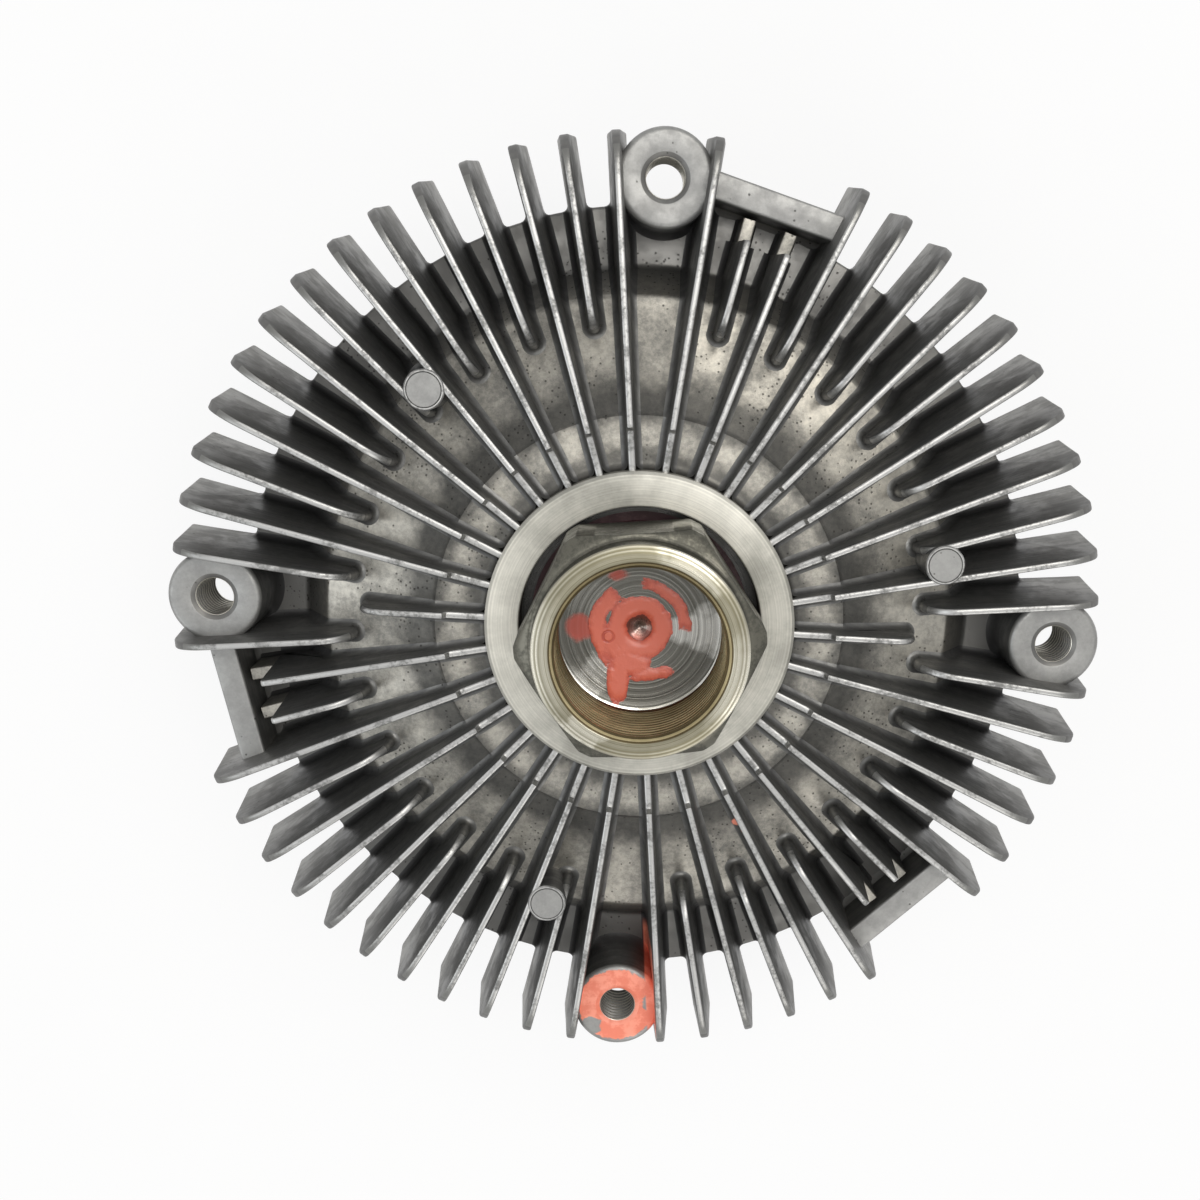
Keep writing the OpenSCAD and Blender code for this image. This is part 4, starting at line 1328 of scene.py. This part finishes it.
    def root_track(self, start_r: float, end_r: float) -> list[Track]:
        """Carrying wall under a fin.

        Args:
            start_r: Radius of the fin's inner end.
            end_r: Radius of its outer end.

        Returns:
            Track from the inner end to the back.
        """
        first, last = self.root_bounds()
        track = [t for t in self.profile.track(first, last) if start_r < t[0] + 1e-6]
        if start_r > self.collar_r:
            z = self.profile.height(start_r, first, last)
            track.insert(0, (start_r, z, track[0][2], track[0][3]))
        if end_r < self.rim_r:
            track = [t for t in track if t[0] < end_r]
            track.append((end_r, self.rim_z, 0.0, 1.0))
        return track

    def blunt_fin(self) -> MeshDraft:
        """Short rib from the collar that ends in a round nose before a lug.

        Returns:
            The rib's draft.
        """
        side, edge = CastLook.FIN_SIDE, CastLook.FIN_EDGE
        first, last = self.root_bounds()
        bend, end = self.blunt_corner, self.short_r - self.form.half(self.shoulder_z)
        floor = self.profile.height(end, first, last)
        outline = self.stepped_edge()
        for i, (r, z) in enumerate(arc((end - bend, self.fin_top - bend), bend, 90, 0, 10)):
            outline.append((r, z, min(1.0, i / 7.0), edge if i < 7 else side))
        outline.append((end, floor + 0.4, 1.0, side))
        root_end = end - self.form.half(floor)
        track = [t for t in self.root_track(self.collar_r, self.cut_r) if t[0] < root_end]
        track.append((root_end, self.profile.height(root_end, first, last), *track[-1][2:]))
        return self.form.draw(outline, track, (False, True))

    def fins(self, draft: MeshDraft) -> None:
        """Draws all the fins.

        Args:
            draft: Draft of the whole casting.
        """
        full = self.fin_r + self.fin_splay
        cut = [a + way * self.fin_pitch / 2.0 for a in self.bar_angles for way in (-1.0, 1.0)]
        kinds = {(True, False): self.long_fin(full), (True, True): self.long_fin(self.cut_r),
                 (False, False): self.short_fin(full), (False, True): self.short_fin(self.cut_r)}
        blunt = self.blunt_fin()
        for i in range(round(360.0 / self.fin_pitch)):
            angle = i * self.fin_pitch
            if angle in self.blunt_angles:
                draft.turned(angle, blunt)
            elif angle not in self.lug_angles:
                draft.turned(angle, kinds[(i % 2 == 0, angle in cut)])

    def lug(self) -> MeshDraft:
        """Threaded lug on the X axis.

        Returns:
            The lug's draft.
        """
        draft = MeshDraft()
        core, sink, low = self.lug_core, self.lug_sink, self.lug_low
        sink_deep = sink * math.tan(math.radians(30.0))
        thread_top, thread_low = -sink_deep - 0.1, low + 0.5
        mouth = [(core, thread_top, 0.0), (core + 0.1, -sink_deep, 0.0), (core + sink, -0.05, 0.0),
                 (core + sink + 0.15, 0.0, 0.0)]
        brim = [(r, z, 0.0) for r, z in arc((self.lug_r - 1.0, -1.0), 1.0, 90, 0, 6)]
        wide, floor = self.lug_r, self.rim_z
        foot = [(wide, floor + 2.2, 0.0), (wide, floor + 1.2, 0.25), (wide, floor + 0.3, 0.9),
                (wide, floor - 0.05, 1.4), (wide, floor - 0.3, 0.0), (wide, low + 0.5, 0.0),
                (wide - 0.5, low, 0.0), (core + 0.5, low, 0.0), (core, thread_low, 0.0)]
        profile = mouth + brim + foot
        looks = [CastLook.THREAD, CastLook.FIN_SIDE] + [CastLook.LUG_FACE] * 7
        looks += [CastLook.FIN_SIDE] * (len(profile) - 1 - len(looks))
        middle = (self.lug_circle, 0.0)
        draft.lathe(lambda angle: [(r + flare * max(0.0, -polar(1.0, angle)[0]), z)
                                   for r, z, flare in reversed(profile)],
                    looks[::-1], self.lug_steps, middle)
        draft.thread(core, *self.lug_thread, (thread_low, thread_top),
                     (CastLook.THREAD, CastLook.FIN_SIDE), self.lug_thread_steps, centre=middle)
        return draft

    def balance_land(self) -> MeshDraft:
        """Bar between two fins on the X axis, with rounded edges.

        Returns:
            The bar's draft.
        """
        draft = MeshDraft()
        low, reach = self.fin_low + self.bevel, self.bar_r * math.tan(math.radians(1.5 * self.fin_pitch))
        near, far = self.bar_r - self.bar_half, self.bar_r + self.bar_half
        top = self.bar_z - 0.5
        section = [(self.rim_r - 1.5, low), (self.rim_r - 1.5, self.rim_z - 0.4),
                   (near - 1.1, self.rim_z + 0.1), (near - 0.3, self.rim_z + 0.9),
                   *arc((near + 0.5, top), 0.5, 175, 90, 5), *arc((far - 0.5, top), 0.5, 90, 5, 5),
                   (far + 0.5, low)]
        looks = [CastLook.SKIN] * 3 + [CastLook.FIN_SIDE] + [CastLook.LUG_FACE] * 11
        looks += [CastLook.FIN_SIDE, CastLook.SKIN]
        rows = [draft.add((x, y, z) for x, z in section + section[:1]) for y in between(-reach, reach, 6)]
        draft.skin(rows, looks[:len(section)])
        return draft

    def stub(self) -> MeshDraft:
        """Low rib that carries a cut fin on to the balance land.

        Returns:
            The rib's draft.
        """
        draft = MeshDraft()
        half, soft, top = self.stub_half, 0.3, self.stub_z
        foot = self.rim_z
        half_section = [(half + 0.9, foot - 0.1), (half + 0.25, foot + 0.5), (half + 0.1, foot + 1.3),
                        *arc((half - soft, top - soft), soft, 0, 90, 4)]
        section = half_section + [(-y, z) for y, z in reversed(half_section)]
        along = [self.cut_r - 0.4, self.cut_r + 0.05, self.cut_r + self.stub_len]
        rows = [draft.add((x, y, z) for y, z in section) for x in along]
        edge = [CastLook.SKIN if z > top - 0.8 else CastLook.FIN_SIDE for _, z in section]
        draft.skin(rows, edge[:-1])
        return draft

    def ejector_boss(self) -> MeshDraft:
        """Flat-topped boss on the X axis with the ring that its pin left.

        Returns:
            The boss's draft.
        """
        draft = MeshDraft()
        first, last = self.root_bounds()
        r, top = self.ejector_r, self.ejector_z
        floor = self.profile.height(self.ejector_circle, first, last)
        profile = [(0.0, top), (r - 0.62, top), (r - 0.52, top - 0.16), (r - 0.42, top - 0.05),
                   (r - 0.2, top - 0.05), (r, top - 0.3), (r + 0.15, floor + 1.2), (r + 0.45, floor + 0.5),
                   (r + 1.1, floor - 0.2)]
        side, edge = CastLook.FIN_SIDE, CastLook.FIN_EDGE
        looks = [CastLook.LUG_FACE, side, side, edge, edge, side, side, side]
        draft.revolve(profile[::-1], looks[::-1], self.boss_steps, (self.ejector_circle, 0.0))
        return draft

    def build(self, shelf: FinishShelf) -> list[Piece]:
        """Makes the casting and puts it in the CAD node's place.

        Args:
            shelf: Finishes.

        Returns:
            The new pieces.
        """
        draft = MeshDraft()
        self.body(draft)
        self.fins(draft)
        sets = ((self.lug_angles, self.lug()), (self.bar_angles, self.balance_land()),
                (self.ejector_angles, self.ejector_boss()))
        for angles, part in sets:
            for angle in angles:
                draft.turned(angle, part)
        stub = self.stub()
        for angle in self.bar_angles:
            for way in (-1.0, 1.0):
                draft.turned(angle + way * self.fin_pitch / 2.0, stub)
        looks = [shelf.skin, shelf.fin_side, shelf.fin_edge, shelf.turned, shelf.lug_face, shelf.lug_thread]
        piece = draft.piece("finned_rear_housing", looks)
        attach(piece, "housing")
        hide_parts("rear_housing")
        return [piece]


@dataclass
class HubNut:
    """Hexagon nut with its round nose, threaded socket, neck and shaft."""

    flats: float = 38.0
    turn_deg: float = 6.5
    front_z: float = field(init=False)
    core_r: float = field(init=False)
    low_z: float = 6.8
    nose_len: float = 5.3
    nose_r: float = 18.05
    nose_fillet: float = 0.7
    face_r: float = 16.6
    thread_depth: float = 0.8
    thread_pitch: float = 1.5
    mouth: float = 1.0
    socket_z: float = 6.8
    relief_r: float = 15.09
    relief_len: float = 2.4
    relief_cut: float = 0.9
    cone: float = 0.9
    dimple_r: float = 2.2
    dimple_depth: float = 0.75
    corner_r: float = 21.3
    outside_steps: int = 360
    mouth_steps: int = 180
    socket_steps: int = 120
    thread_fine: int = 16
    shaft: tuple[Point2, ...] = (
        (16.6, 6.8), (16.6, 1.0), (16.1, 0.5), (13.3, 0.5), (13.3, -1.5), (10.0, -1.5), (10.0, -15.5),
        (8.5, -15.5), (8.5, -22.37), (9.3, -22.37), (9.3, -22.75), (0.0, -23.15))

    def __post_init__(self) -> None:
        """Takes the nut's front from the frame."""
        self.front_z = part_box("hub_shaft")[1][2] / MM
        self.core_r = frame["record"]["mounts"][0]["dims"]["r_mm"]

    def hex_radius(self, angle: float) -> float:
        """Radius of the hexagon at an angle in degrees, with its corners rounded off."""
        inside = (angle - self.turn_deg) % 60.0 - 30.0
        return min(self.flats / 2.0 / math.cos(math.radians(inside)), self.corner_r)

    def nose_points(self) -> list[Point2]:
        """Front ring and side of the round nose, down to the hexagon."""
        front, r, soft = self.front_z, self.nose_r, self.nose_fillet
        return [(self.core_r + self.mouth + 0.15, front), (self.face_r - 0.1, front),
                (self.face_r + 0.1, front - 0.03), (r - 0.2, front - 0.3), (r, front - 0.55),
                *arc((r + soft, front - self.nose_len + soft), soft, 180, 270, 5)]

    def outside(self, draft: MeshDraft) -> None:
        """Draws the nut's nose, its flats with their chamfer and the shaft below.

        Args:
            draft: Draft of the hub.
        """
        nose = self.nose_points()
        top, half = nose[-1][1], self.flats / 2.0

        def section(angle: float) -> list[Point2]:
            """Outline of the hub at an angle.

            Args:
                angle: Angle in degrees.

            Returns:
                Radius and height of its points, from the shaft's end up to the nut's front.
            """
            r = self.hex_radius(angle)
            edge = top - (r - half) * math.tan(math.radians(30.0))
            sides = [(half - 0.15, top), (r - 0.1, edge - 0.02), (r, edge - 0.18),
                     (r, self.low_z + 0.35), (r - 0.3, self.low_z)]
            return [*nose, *sides, *self.shaft][::-1]

        looks = [NutLook.FRONT] * 4 + [NutLook.FLAT] * (len(nose) + 1)
        looks += [NutLook.FRONT] * (len(self.shaft) - 1)
        draft.lathe(section, looks[::-1], self.outside_steps)

    def socket(self, draft: MeshDraft) -> None:
        """Draws the threaded socket.

        Args:
            draft: Draft of the hub.
        """
        core, front, level = self.core_r, self.front_z, self.socket_z
        thread_low = level + self.relief_len + self.relief_cut
        lip = core + self.mouth
        mouth = [(lip + 0.15, front), (lip, front - 0.08), (lip - 0.25, front - 0.33),
                 (lip - 0.6, front - 0.62), (core, front - self.mouth)]
        draft.revolve(mouth, [NutLook.FRONT, NutLook.GROOVE, NutLook.THREAD, NutLook.GROOVE],
                      self.mouth_steps)
        draft.thread(core, self.thread_depth, self.thread_pitch, (thread_low, front - self.mouth),
                     (NutLook.THREAD, NutLook.GROOVE), self.socket_steps, self.thread_fine)
        deep_r = self.relief_r
        wall = [(core, thread_low), (deep_r, thread_low - self.relief_cut), (deep_r, level + 0.5),
                (deep_r - 0.25, level + 0.12), (deep_r - 0.6, level)]
        slope = [(r, level - self.cone * (deep_r - r) / (deep_r - self.dimple_r))
                 for r in between(deep_r - 0.6, self.dimple_r + 0.2, 8)[1:]]
        base, bite, deep = level - self.cone, self.dimple_r, self.dimple_depth
        dimple = [(bite, base - 0.12), (bite * 0.6, base - deep * 0.42), (bite * 0.25, base - deep * 0.85),
                  (0.0, base - deep)]
        looks = [NutLook.GROOVE] * 2 + [NutLook.RIM] * 2 + [NutLook.FLOOR] * (len(slope) + len(dimple))
        draft.revolve(wall + slope + dimple, looks, self.socket_steps)

    def build(self, shelf: FinishShelf) -> list[Piece]:
        """Makes the hub and puts it in the CAD node's place.

        Args:
            shelf: Finishes.

        Returns:
            The new pieces.
        """
        draft = MeshDraft()
        self.outside(draft)
        self.socket(draft)
        looks = [shelf.nut_flat, shelf.nut_front, shelf.nut_thread, shelf.socket_floor, shelf.nut_groove,
                 shelf.floor_rim]
        piece = draft.piece("hub_nut_and_shaft", looks)
        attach(piece, "hub")
        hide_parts("hub_shaft")
        return [piece]


@dataclass
class FrontCover:
    """Finned cover on the coil side, drawn with its outside up."""

    bore_r: float = 5.06
    boss_r: float = 8.66
    boss_z: float = 26.65
    reservoir_r: float = 48.0
    reservoir_z: float = 29.5
    dish_r: float = 51.5
    dish_z: float = 33.0
    body_r: float = 63.75
    flange_r: float = 66.48
    flange_z: float = 28.25
    groove_r: float = 64.06
    groove_z: Point2 = (24.8, 27.2)
    separator_r: float = 53.02
    separator_z: Point2 = (23.75, 24.95)
    rest_z: float = field(init=False)
    fin_in: float = 33.0
    fin_count: int = 30
    fin_bevel: float = 3.0
    dish_round: float = 2.0
    body_steps: int = 240

    def __post_init__(self) -> None:
        """Takes the lowest level from the frame and works out the profile."""
        self.rest_z = -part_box("front_cover")[0][2] / MM
        self.profile = BodyProfile(tuple(self.outer_points()))
        self.form = FinForm(edge_t=1.6, back_t=3.0, edge_z=self.rest_z, back_z=self.flange_z - 1.75,
                            edge_round=0.45, root_round=1.2)

    def outer_points(self) -> list[Point2]:
        """Outside of the cover from its bore to the edge of its body.

        Returns:
            Radius and height of its points.
        """
        fall = math.degrees(math.atan2(self.dish_z - self.flange_z, self.body_r - self.dish_r))
        lead = self.dish_round * math.tan(math.radians(fall / 2.0))
        bend = self.dish_round
        crest = arc((self.dish_r - lead, self.dish_z - bend), bend, 90.0, 90.0 - fall, 5)
        return [(self.bore_r, self.dish_z), (self.fin_in - 3.0, self.dish_z), *crest,
                (self.body_r - 0.6, self.flange_z + 0.25), (self.body_r, self.flange_z)]

    def inner_points(self) -> list[Point2]:
        """Flange, seal groove, ledge and reservoir, back to the bore."""
        return [
            (self.flange_r, self.flange_z), (self.flange_r, self.groove_z[1]),
            (self.groove_r, self.groove_z[1]), (self.groove_r, self.groove_z[0]),
            (self.flange_r, self.groove_z[0]), (self.flange_r, self.separator_z[0]),
            (self.separator_r, self.separator_z[0]), (self.separator_r, self.separator_z[1]),
            (self.reservoir_r, self.separator_z[1]), (self.reservoir_r, self.reservoir_z),
            (self.boss_r, self.reservoir_z), (self.boss_r, self.boss_z), (self.bore_r, self.boss_z),
        ]

    def fin(self) -> MeshDraft:
        """Fin along the X axis, from its round inner end to the edge of the body.

        Returns:
            The fin's draft.
        """
        side, edge, top, cut = CastLook.FIN_SIDE, CastLook.FIN_EDGE, self.rest_z, self.fin_bevel
        inner = [(self.fin_in, z) for z in between(self.dish_z + 0.4, top - cut - 0.2, 3)]
        rise = [(self.fin_in + cut * s, top - cut * (1.0 - s), 0.9 - 0.9 * s, edge)
                for s in (0.1, 0.35, 0.65, 0.92)]
        ridge = [(r, top) for r in between(self.fin_in + cut + 0.2, self.body_r - cut - 0.2, 4)]
        ridge += [(self.body_r - cut * (1.0 - s), top - cut * s) for s in (0.08, 0.5, 0.92)]
        outer = [(self.body_r, z) for z in between(top - cut - 0.3, self.flange_z + 0.1, 3)]
        start = self.fin_in + self.form.half(self.dish_z)
        track = [t for t in self.profile.track(0, len(self.profile.points) - 2) if t[0] > start]
        track.insert(0, (start, self.dish_z, 0.0, 1.0))
        outline = stations(inner, side, 1.0) + rise + stations(ridge, edge) + stations(outer, side)
        return self.form.draw(outline, track, (True, False))

    def build(self, shelf: FinishShelf) -> list[Piece]:
        """Makes the cover and puts it in the CAD node's place.

        Args:
            shelf: Finishes.

        Returns:
            The new pieces.
        """
        draft = MeshDraft(Side.COIL)
        loop = list(self.profile.points) + self.inner_points()
        loop.append(loop[0])
        draft.revolve(loop[::-1], [CastLook.SKIN] * (len(loop) - 1), self.body_steps)
        fin = self.fin()
        for i in range(self.fin_count):
            draft.turned((i + 0.5) * 360.0 / self.fin_count, fin)
        piece = draft.piece("finned_front_cover", [shelf.cover_skin, shelf.cover_fin_side, shelf.fin_edge])
        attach(piece, "housing")
        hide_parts("front_cover")
        return [piece]


@dataclass
class BimetalCoil:
    """Spiral strip whose inner end turns with the valve and whose outer end is held by the bracket."""

    inner_r: float = 5.0
    pitch: float = 3.2
    turns: int = 5
    thick: float = 1.0
    bend_r: float = 0.8
    tab_in: float = -1.5
    tab_out: float = 24.25
    soft: float = 0.22
    turn_steps: int = 72
    tied_rows: tuple[int, int] = (12, 10)
    low: float = field(init=False)
    high: float = field(init=False)

    def __post_init__(self) -> None:
        """Takes the strip's levels from the frame."""
        low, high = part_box("bimetal_coil")
        self.low, self.high = low[2] / MM, high[2] / MM

    def path(self) -> list[Point2]:
        """Middle line of the strip from the valve shaft to the bracket.

        Returns:
            Its points.
        """
        bend = self.bend_r
        outer_r = self.inner_r + self.pitch * self.turns
        first = math.degrees(math.asin(bend / self.inner_r))
        last = 360.0 * self.turns - math.degrees(math.asin(bend / outer_r))
        line = [(x, 0.0) for x in between(self.tab_in, self.inner_r - bend - 0.1, 6)]
        line += arc((self.inner_r - bend, bend), bend, -90.0, -8.0, 6)
        line += [polar(self.inner_r + self.pitch * turn / 360.0, turn)
                 for turn in between(first, last, self.turn_steps * self.turns)]
        end = line[-1][0]
        line += arc((end + bend, -bend), bend, 172.0, 90.0, 6)
        return line + [(x, 0.0) for x in between(end + bend + 0.1, self.tab_out, 3)]

    def build(self, shelf: FinishShelf) -> list[Piece]:
        """Makes the coil.

        Args:
            shelf: Finishes.

        Returns:
            The new pieces.
        """
        draft = MeshDraft()
        line = self.path()
        half, soft = self.thick / 2.0, self.soft
        middle = (self.low + self.high) / 2.0
        corner = arc((half - soft, self.high - soft - middle), soft, 0.0, 90.0, 3)
        quarter = corner + [(-y, z) for y, z in reversed(corner)]
        section = quarter + [(-y, -z) for y, z in quarter]
        rows, gone = [], [0.0]
        for i, (x, y) in enumerate(line):
            dx, dy = heading(line, i)
            ring = [(x + dy * out, y - dx * out, middle + up) for out, up in section]
            rows.append(draft.add(ring + ring[:1]))
            gone.append(gone[-1] + math.dist(line[i], line[min(i + 1, len(line) - 1)]))
        draft.skin(rows, [0] * len(section))
        draft.face(rows[0][:-1], 0, flat=True)
        draft.face(rows[-1][-2::-1], 0, flat=True)
        piece = draft.piece("wound_bimetal_coil", [shelf.bimetal])
        self.wind(piece, rows, gone)
        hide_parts("bimetal_coil")
        return [piece]

    def wind(self, piece: Piece, rows: Sequence[Sequence[int]], gone: Sequence[float]) -> None:
        """Works out each point's share of the strip's length between the tied ends, and bakes the coil's
        transform; the shares are not stored.

        Args:
            piece: The coil.
            rows: Points of each section along the strip.
            gone: Length of the strip before each section.
        """
        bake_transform(piece)
        tied_in, tied_out = gone[self.tied_rows[0]], gone[len(rows) - self.tied_rows[1]]
        weights = [0.0] * len(piece.data.vertices)
        for row, length in zip(rows, gone):
            share = max(0.0, min(1.0, (tied_out - length) / (tied_out - tied_in)))
            for index in row:
                weights[index] = share


@dataclass
class InnerWorks:
    """Solids that stay as they are and only take a finish."""

    finishes: dict[str, str] = field(default_factory=lambda: {
        "cover_seal": "black_rubber", "bearing_outer_ring": "oiled_steel",
        "bearing_inner_ring": "ground_steel", "bearing_balls": "ground_steel", "bearing_cage": "brass",
        "rear_seal": "maroon_rubber", "front_seal": "maroon_rubber", "snap_ring": "spring_steel",
        "rotor": "turned_plate", "separator_plate": "sheet_steel", "separator_rivets": "sheet_steel",
        "valve_arm": "spring_steel", "valve_shaft": "ground_steel", "valve_bush": "brass",
        "valve_seal": "black_rubber", "coil_bracket": "sheet_steel",
        "bracket_rivet": "sheet_steel"})

    def build(self, shelf: FinishShelf) -> list[Piece]:
        """Dresses the solids.

        Args:
            shelf: Finishes.

        Returns:
            The dressed nodes.
        """
        dressed = []
        for node, finish in self.finishes.items():
            thing = frame["nodes"][node]
            thing.data.materials.clear()
            thing.data.materials.append(getattr(shelf, finish))
            dressed.append(thing)
        return dressed


@dataclass
class Studio:
    """Pale floor, soft light and the photograph's camera."""

    floor_half: float = 3.0
    eye_mm: Point3 = (-4.61785, 54.31348, 265.47395)
    turn_deg: Point3 = (14.64207, 2.77958, -3.09331)
    focus_px: float = 1496.06
    centre_px: Point2 = (682.43, 703.79)
    white: float = 1.0

    def floor(self) -> Piece:
        """Makes the floor under the rest face.

        Returns:
            The floor.
        """
        level, half = CAD_BOX[0][2] - FLOOR_GAP, self.floor_half
        mesh = bpy.data.meshes.new("pale_floor")
        corners = [(-half, -half, level), (half, -half, level), (half, half, level), (-half, half, level)]
        mesh.from_pydata(corners, [], [(0, 1, 2, 3)])
        mesh.materials.append(self.floor_material())
        thing = show("pale_floor", mesh)
        return thing

    def whiten(self, desk: NodeDesk, plain: Socket, kind: str, end: str, share: float) -> None:
        """Lets the rays that are seen directly or in gloss meet plain white.

        Args:
            desk: Desk of the floor's material or of the world.
            plain: Shader that all other rays meet.
            kind: Type of the white shader's node.
            end: Type of the tree's output node.
            share: Share of white.
        """
        path = desk.put("ShaderNodeLightPath").outputs
        seen = desk.most(*(path[f"Is {ray} Ray"] for ray in ("Camera", "Glossy", "Transmission")))
        white = desk.put(kind, {"Strength": self.white}).outputs[0]
        both = desk.put("ShaderNodeMixShader", {0: desk.times(seen, share), 1: plain, 2: white})
        desk.feed(desk.find(end).inputs["Surface"], both.outputs[0])

    def floor_material(self) -> Material:
        """Makes white paper that keeps a soft shadow.

        Returns:
            The material.
        """
        material = bpy.data.materials.new("white_paper")
        material.use_nodes = True
        desk = NodeDesk(material.node_tree)
        shader = desk.find("BSDF_PRINCIPLED")
        tone = desk.mix(desk.noise(desk.places(), 0.08, 2.0, 0.5), (0.80, 0.80, 0.80), (0.84, 0.84, 0.84))
        desk.wire(shader, {"Base Color": tone, "Roughness": 0.9})
        self.whiten(desk, shader.outputs[0], "ShaderNodeEmission", "OUTPUT_MATERIAL", 0.86)
        return material

    def world(self) -> None:
        """Sets a soft grey sky that the camera sees as white."""
        world = bpy.data.worlds.new("studio_sky")
        world.use_nodes = True
        bpy.context.scene.world = world
        desk = NodeDesk(world.node_tree)
        sky = desk.find("BACKGROUND")
        up = desk.split(desk.put("ShaderNodeTexCoord").outputs["Generated"])[2]
        tone = desk.mix(desk.ramp(up, 0.0, 0.9), (0.30, 0.31, 0.33), (0.80, 0.80, 0.79))
        desk.wire(sky, {"Color": tone, "Strength": 0.75})
        self.whiten(desk, sky.outputs[0], "ShaderNodeBackground", "OUTPUT_WORLD", 1.0)

    @staticmethod
    def soft_box(name: str, place: Point3, size: float, power: float, colour: Colour) -> None:
        """Adds an area lamp that faces the clutch.

        Args:
            name: Name of the lamp.
            place: Its place in metres.
            size: Its side in metres.
            power: Its power in watts.
            colour: Its colour.
        """
        lamp = bpy.data.lights.new(name, "AREA")
        lamp.energy = power
        lamp.size = size
        lamp.color = colour
        thing = show(name, lamp)
        thing.location = place
        thing.rotation_euler = (-Vector(place)).to_track_quat("-Z", "Y").to_euler()

    def camera(self) -> None:
        """Places the camera as the photograph's was."""
        lens = bpy.data.cameras.new("photo_camera")
        lens.sensor_width = SENSOR_MM
        lens.lens = self.focus_px * SENSOR_MM / PHOTO_PIXELS
        half = PHOTO_PIXELS / 2.0
        lens.shift_x = (half - self.centre_px[0]) / PHOTO_PIXELS
        lens.shift_y = (self.centre_px[1] - half) / PHOTO_PIXELS
        lens.clip_start = 0.005
        thing = show("photo_camera", lens)
        turn = Matrix.Identity(3)
        for axis, angle in zip("XYZ", self.turn_deg):
            turn = Matrix.Rotation(math.radians(angle), 3, axis) @ turn
        thing.matrix_world = Matrix.Translation(Vector(self.eye_mm) * MM) @ turn.transposed().to_4x4()
        bpy.context.scene.camera = thing

    def build(self) -> list[Piece]:
        """Makes the stage.

        Returns:
            The floor.
        """
        self.camera()
        self.world()
        self.soft_box("key_lamp", (0.35, 0.55, 0.95), 0.7, 4.5, (1.0, 0.96, 0.90))
        self.soft_box("top_lamp", (0.05, 0.20, 1.0), 0.4, 1.5, (1.0, 0.98, 0.95))
        self.soft_box("low_lamp", (0.35, -0.75, 0.75), 0.6, 2.2, (1.0, 0.97, 0.93))
        self.soft_box("fill_lamp", (-0.8, -0.25, 0.7), 0.8, 2.6, (0.92, 0.96, 1.0))
        bpy.context.scene.view_settings.view_transform = "Standard"
        return [self.floor()]


def main() -> None:
    """Builds the clutch and its stage, and reports each piece."""
    logging.basicConfig(level=logging.INFO, format="%(name)s: %(message)s")
    shelf = FinishShelf()
    studio = Studio()
    for thing in studio.build():
        LOG.info("stage %s", thing.name)
    for assembly in (RearHousing(), HubNut(), FrontCover(), BimetalCoil(), InnerWorks()):
        for thing in assembly.build(shelf):
            LOG.info("%s %s", type(assembly).__name__, thing.name)


if __name__ == "__main__":
    main()
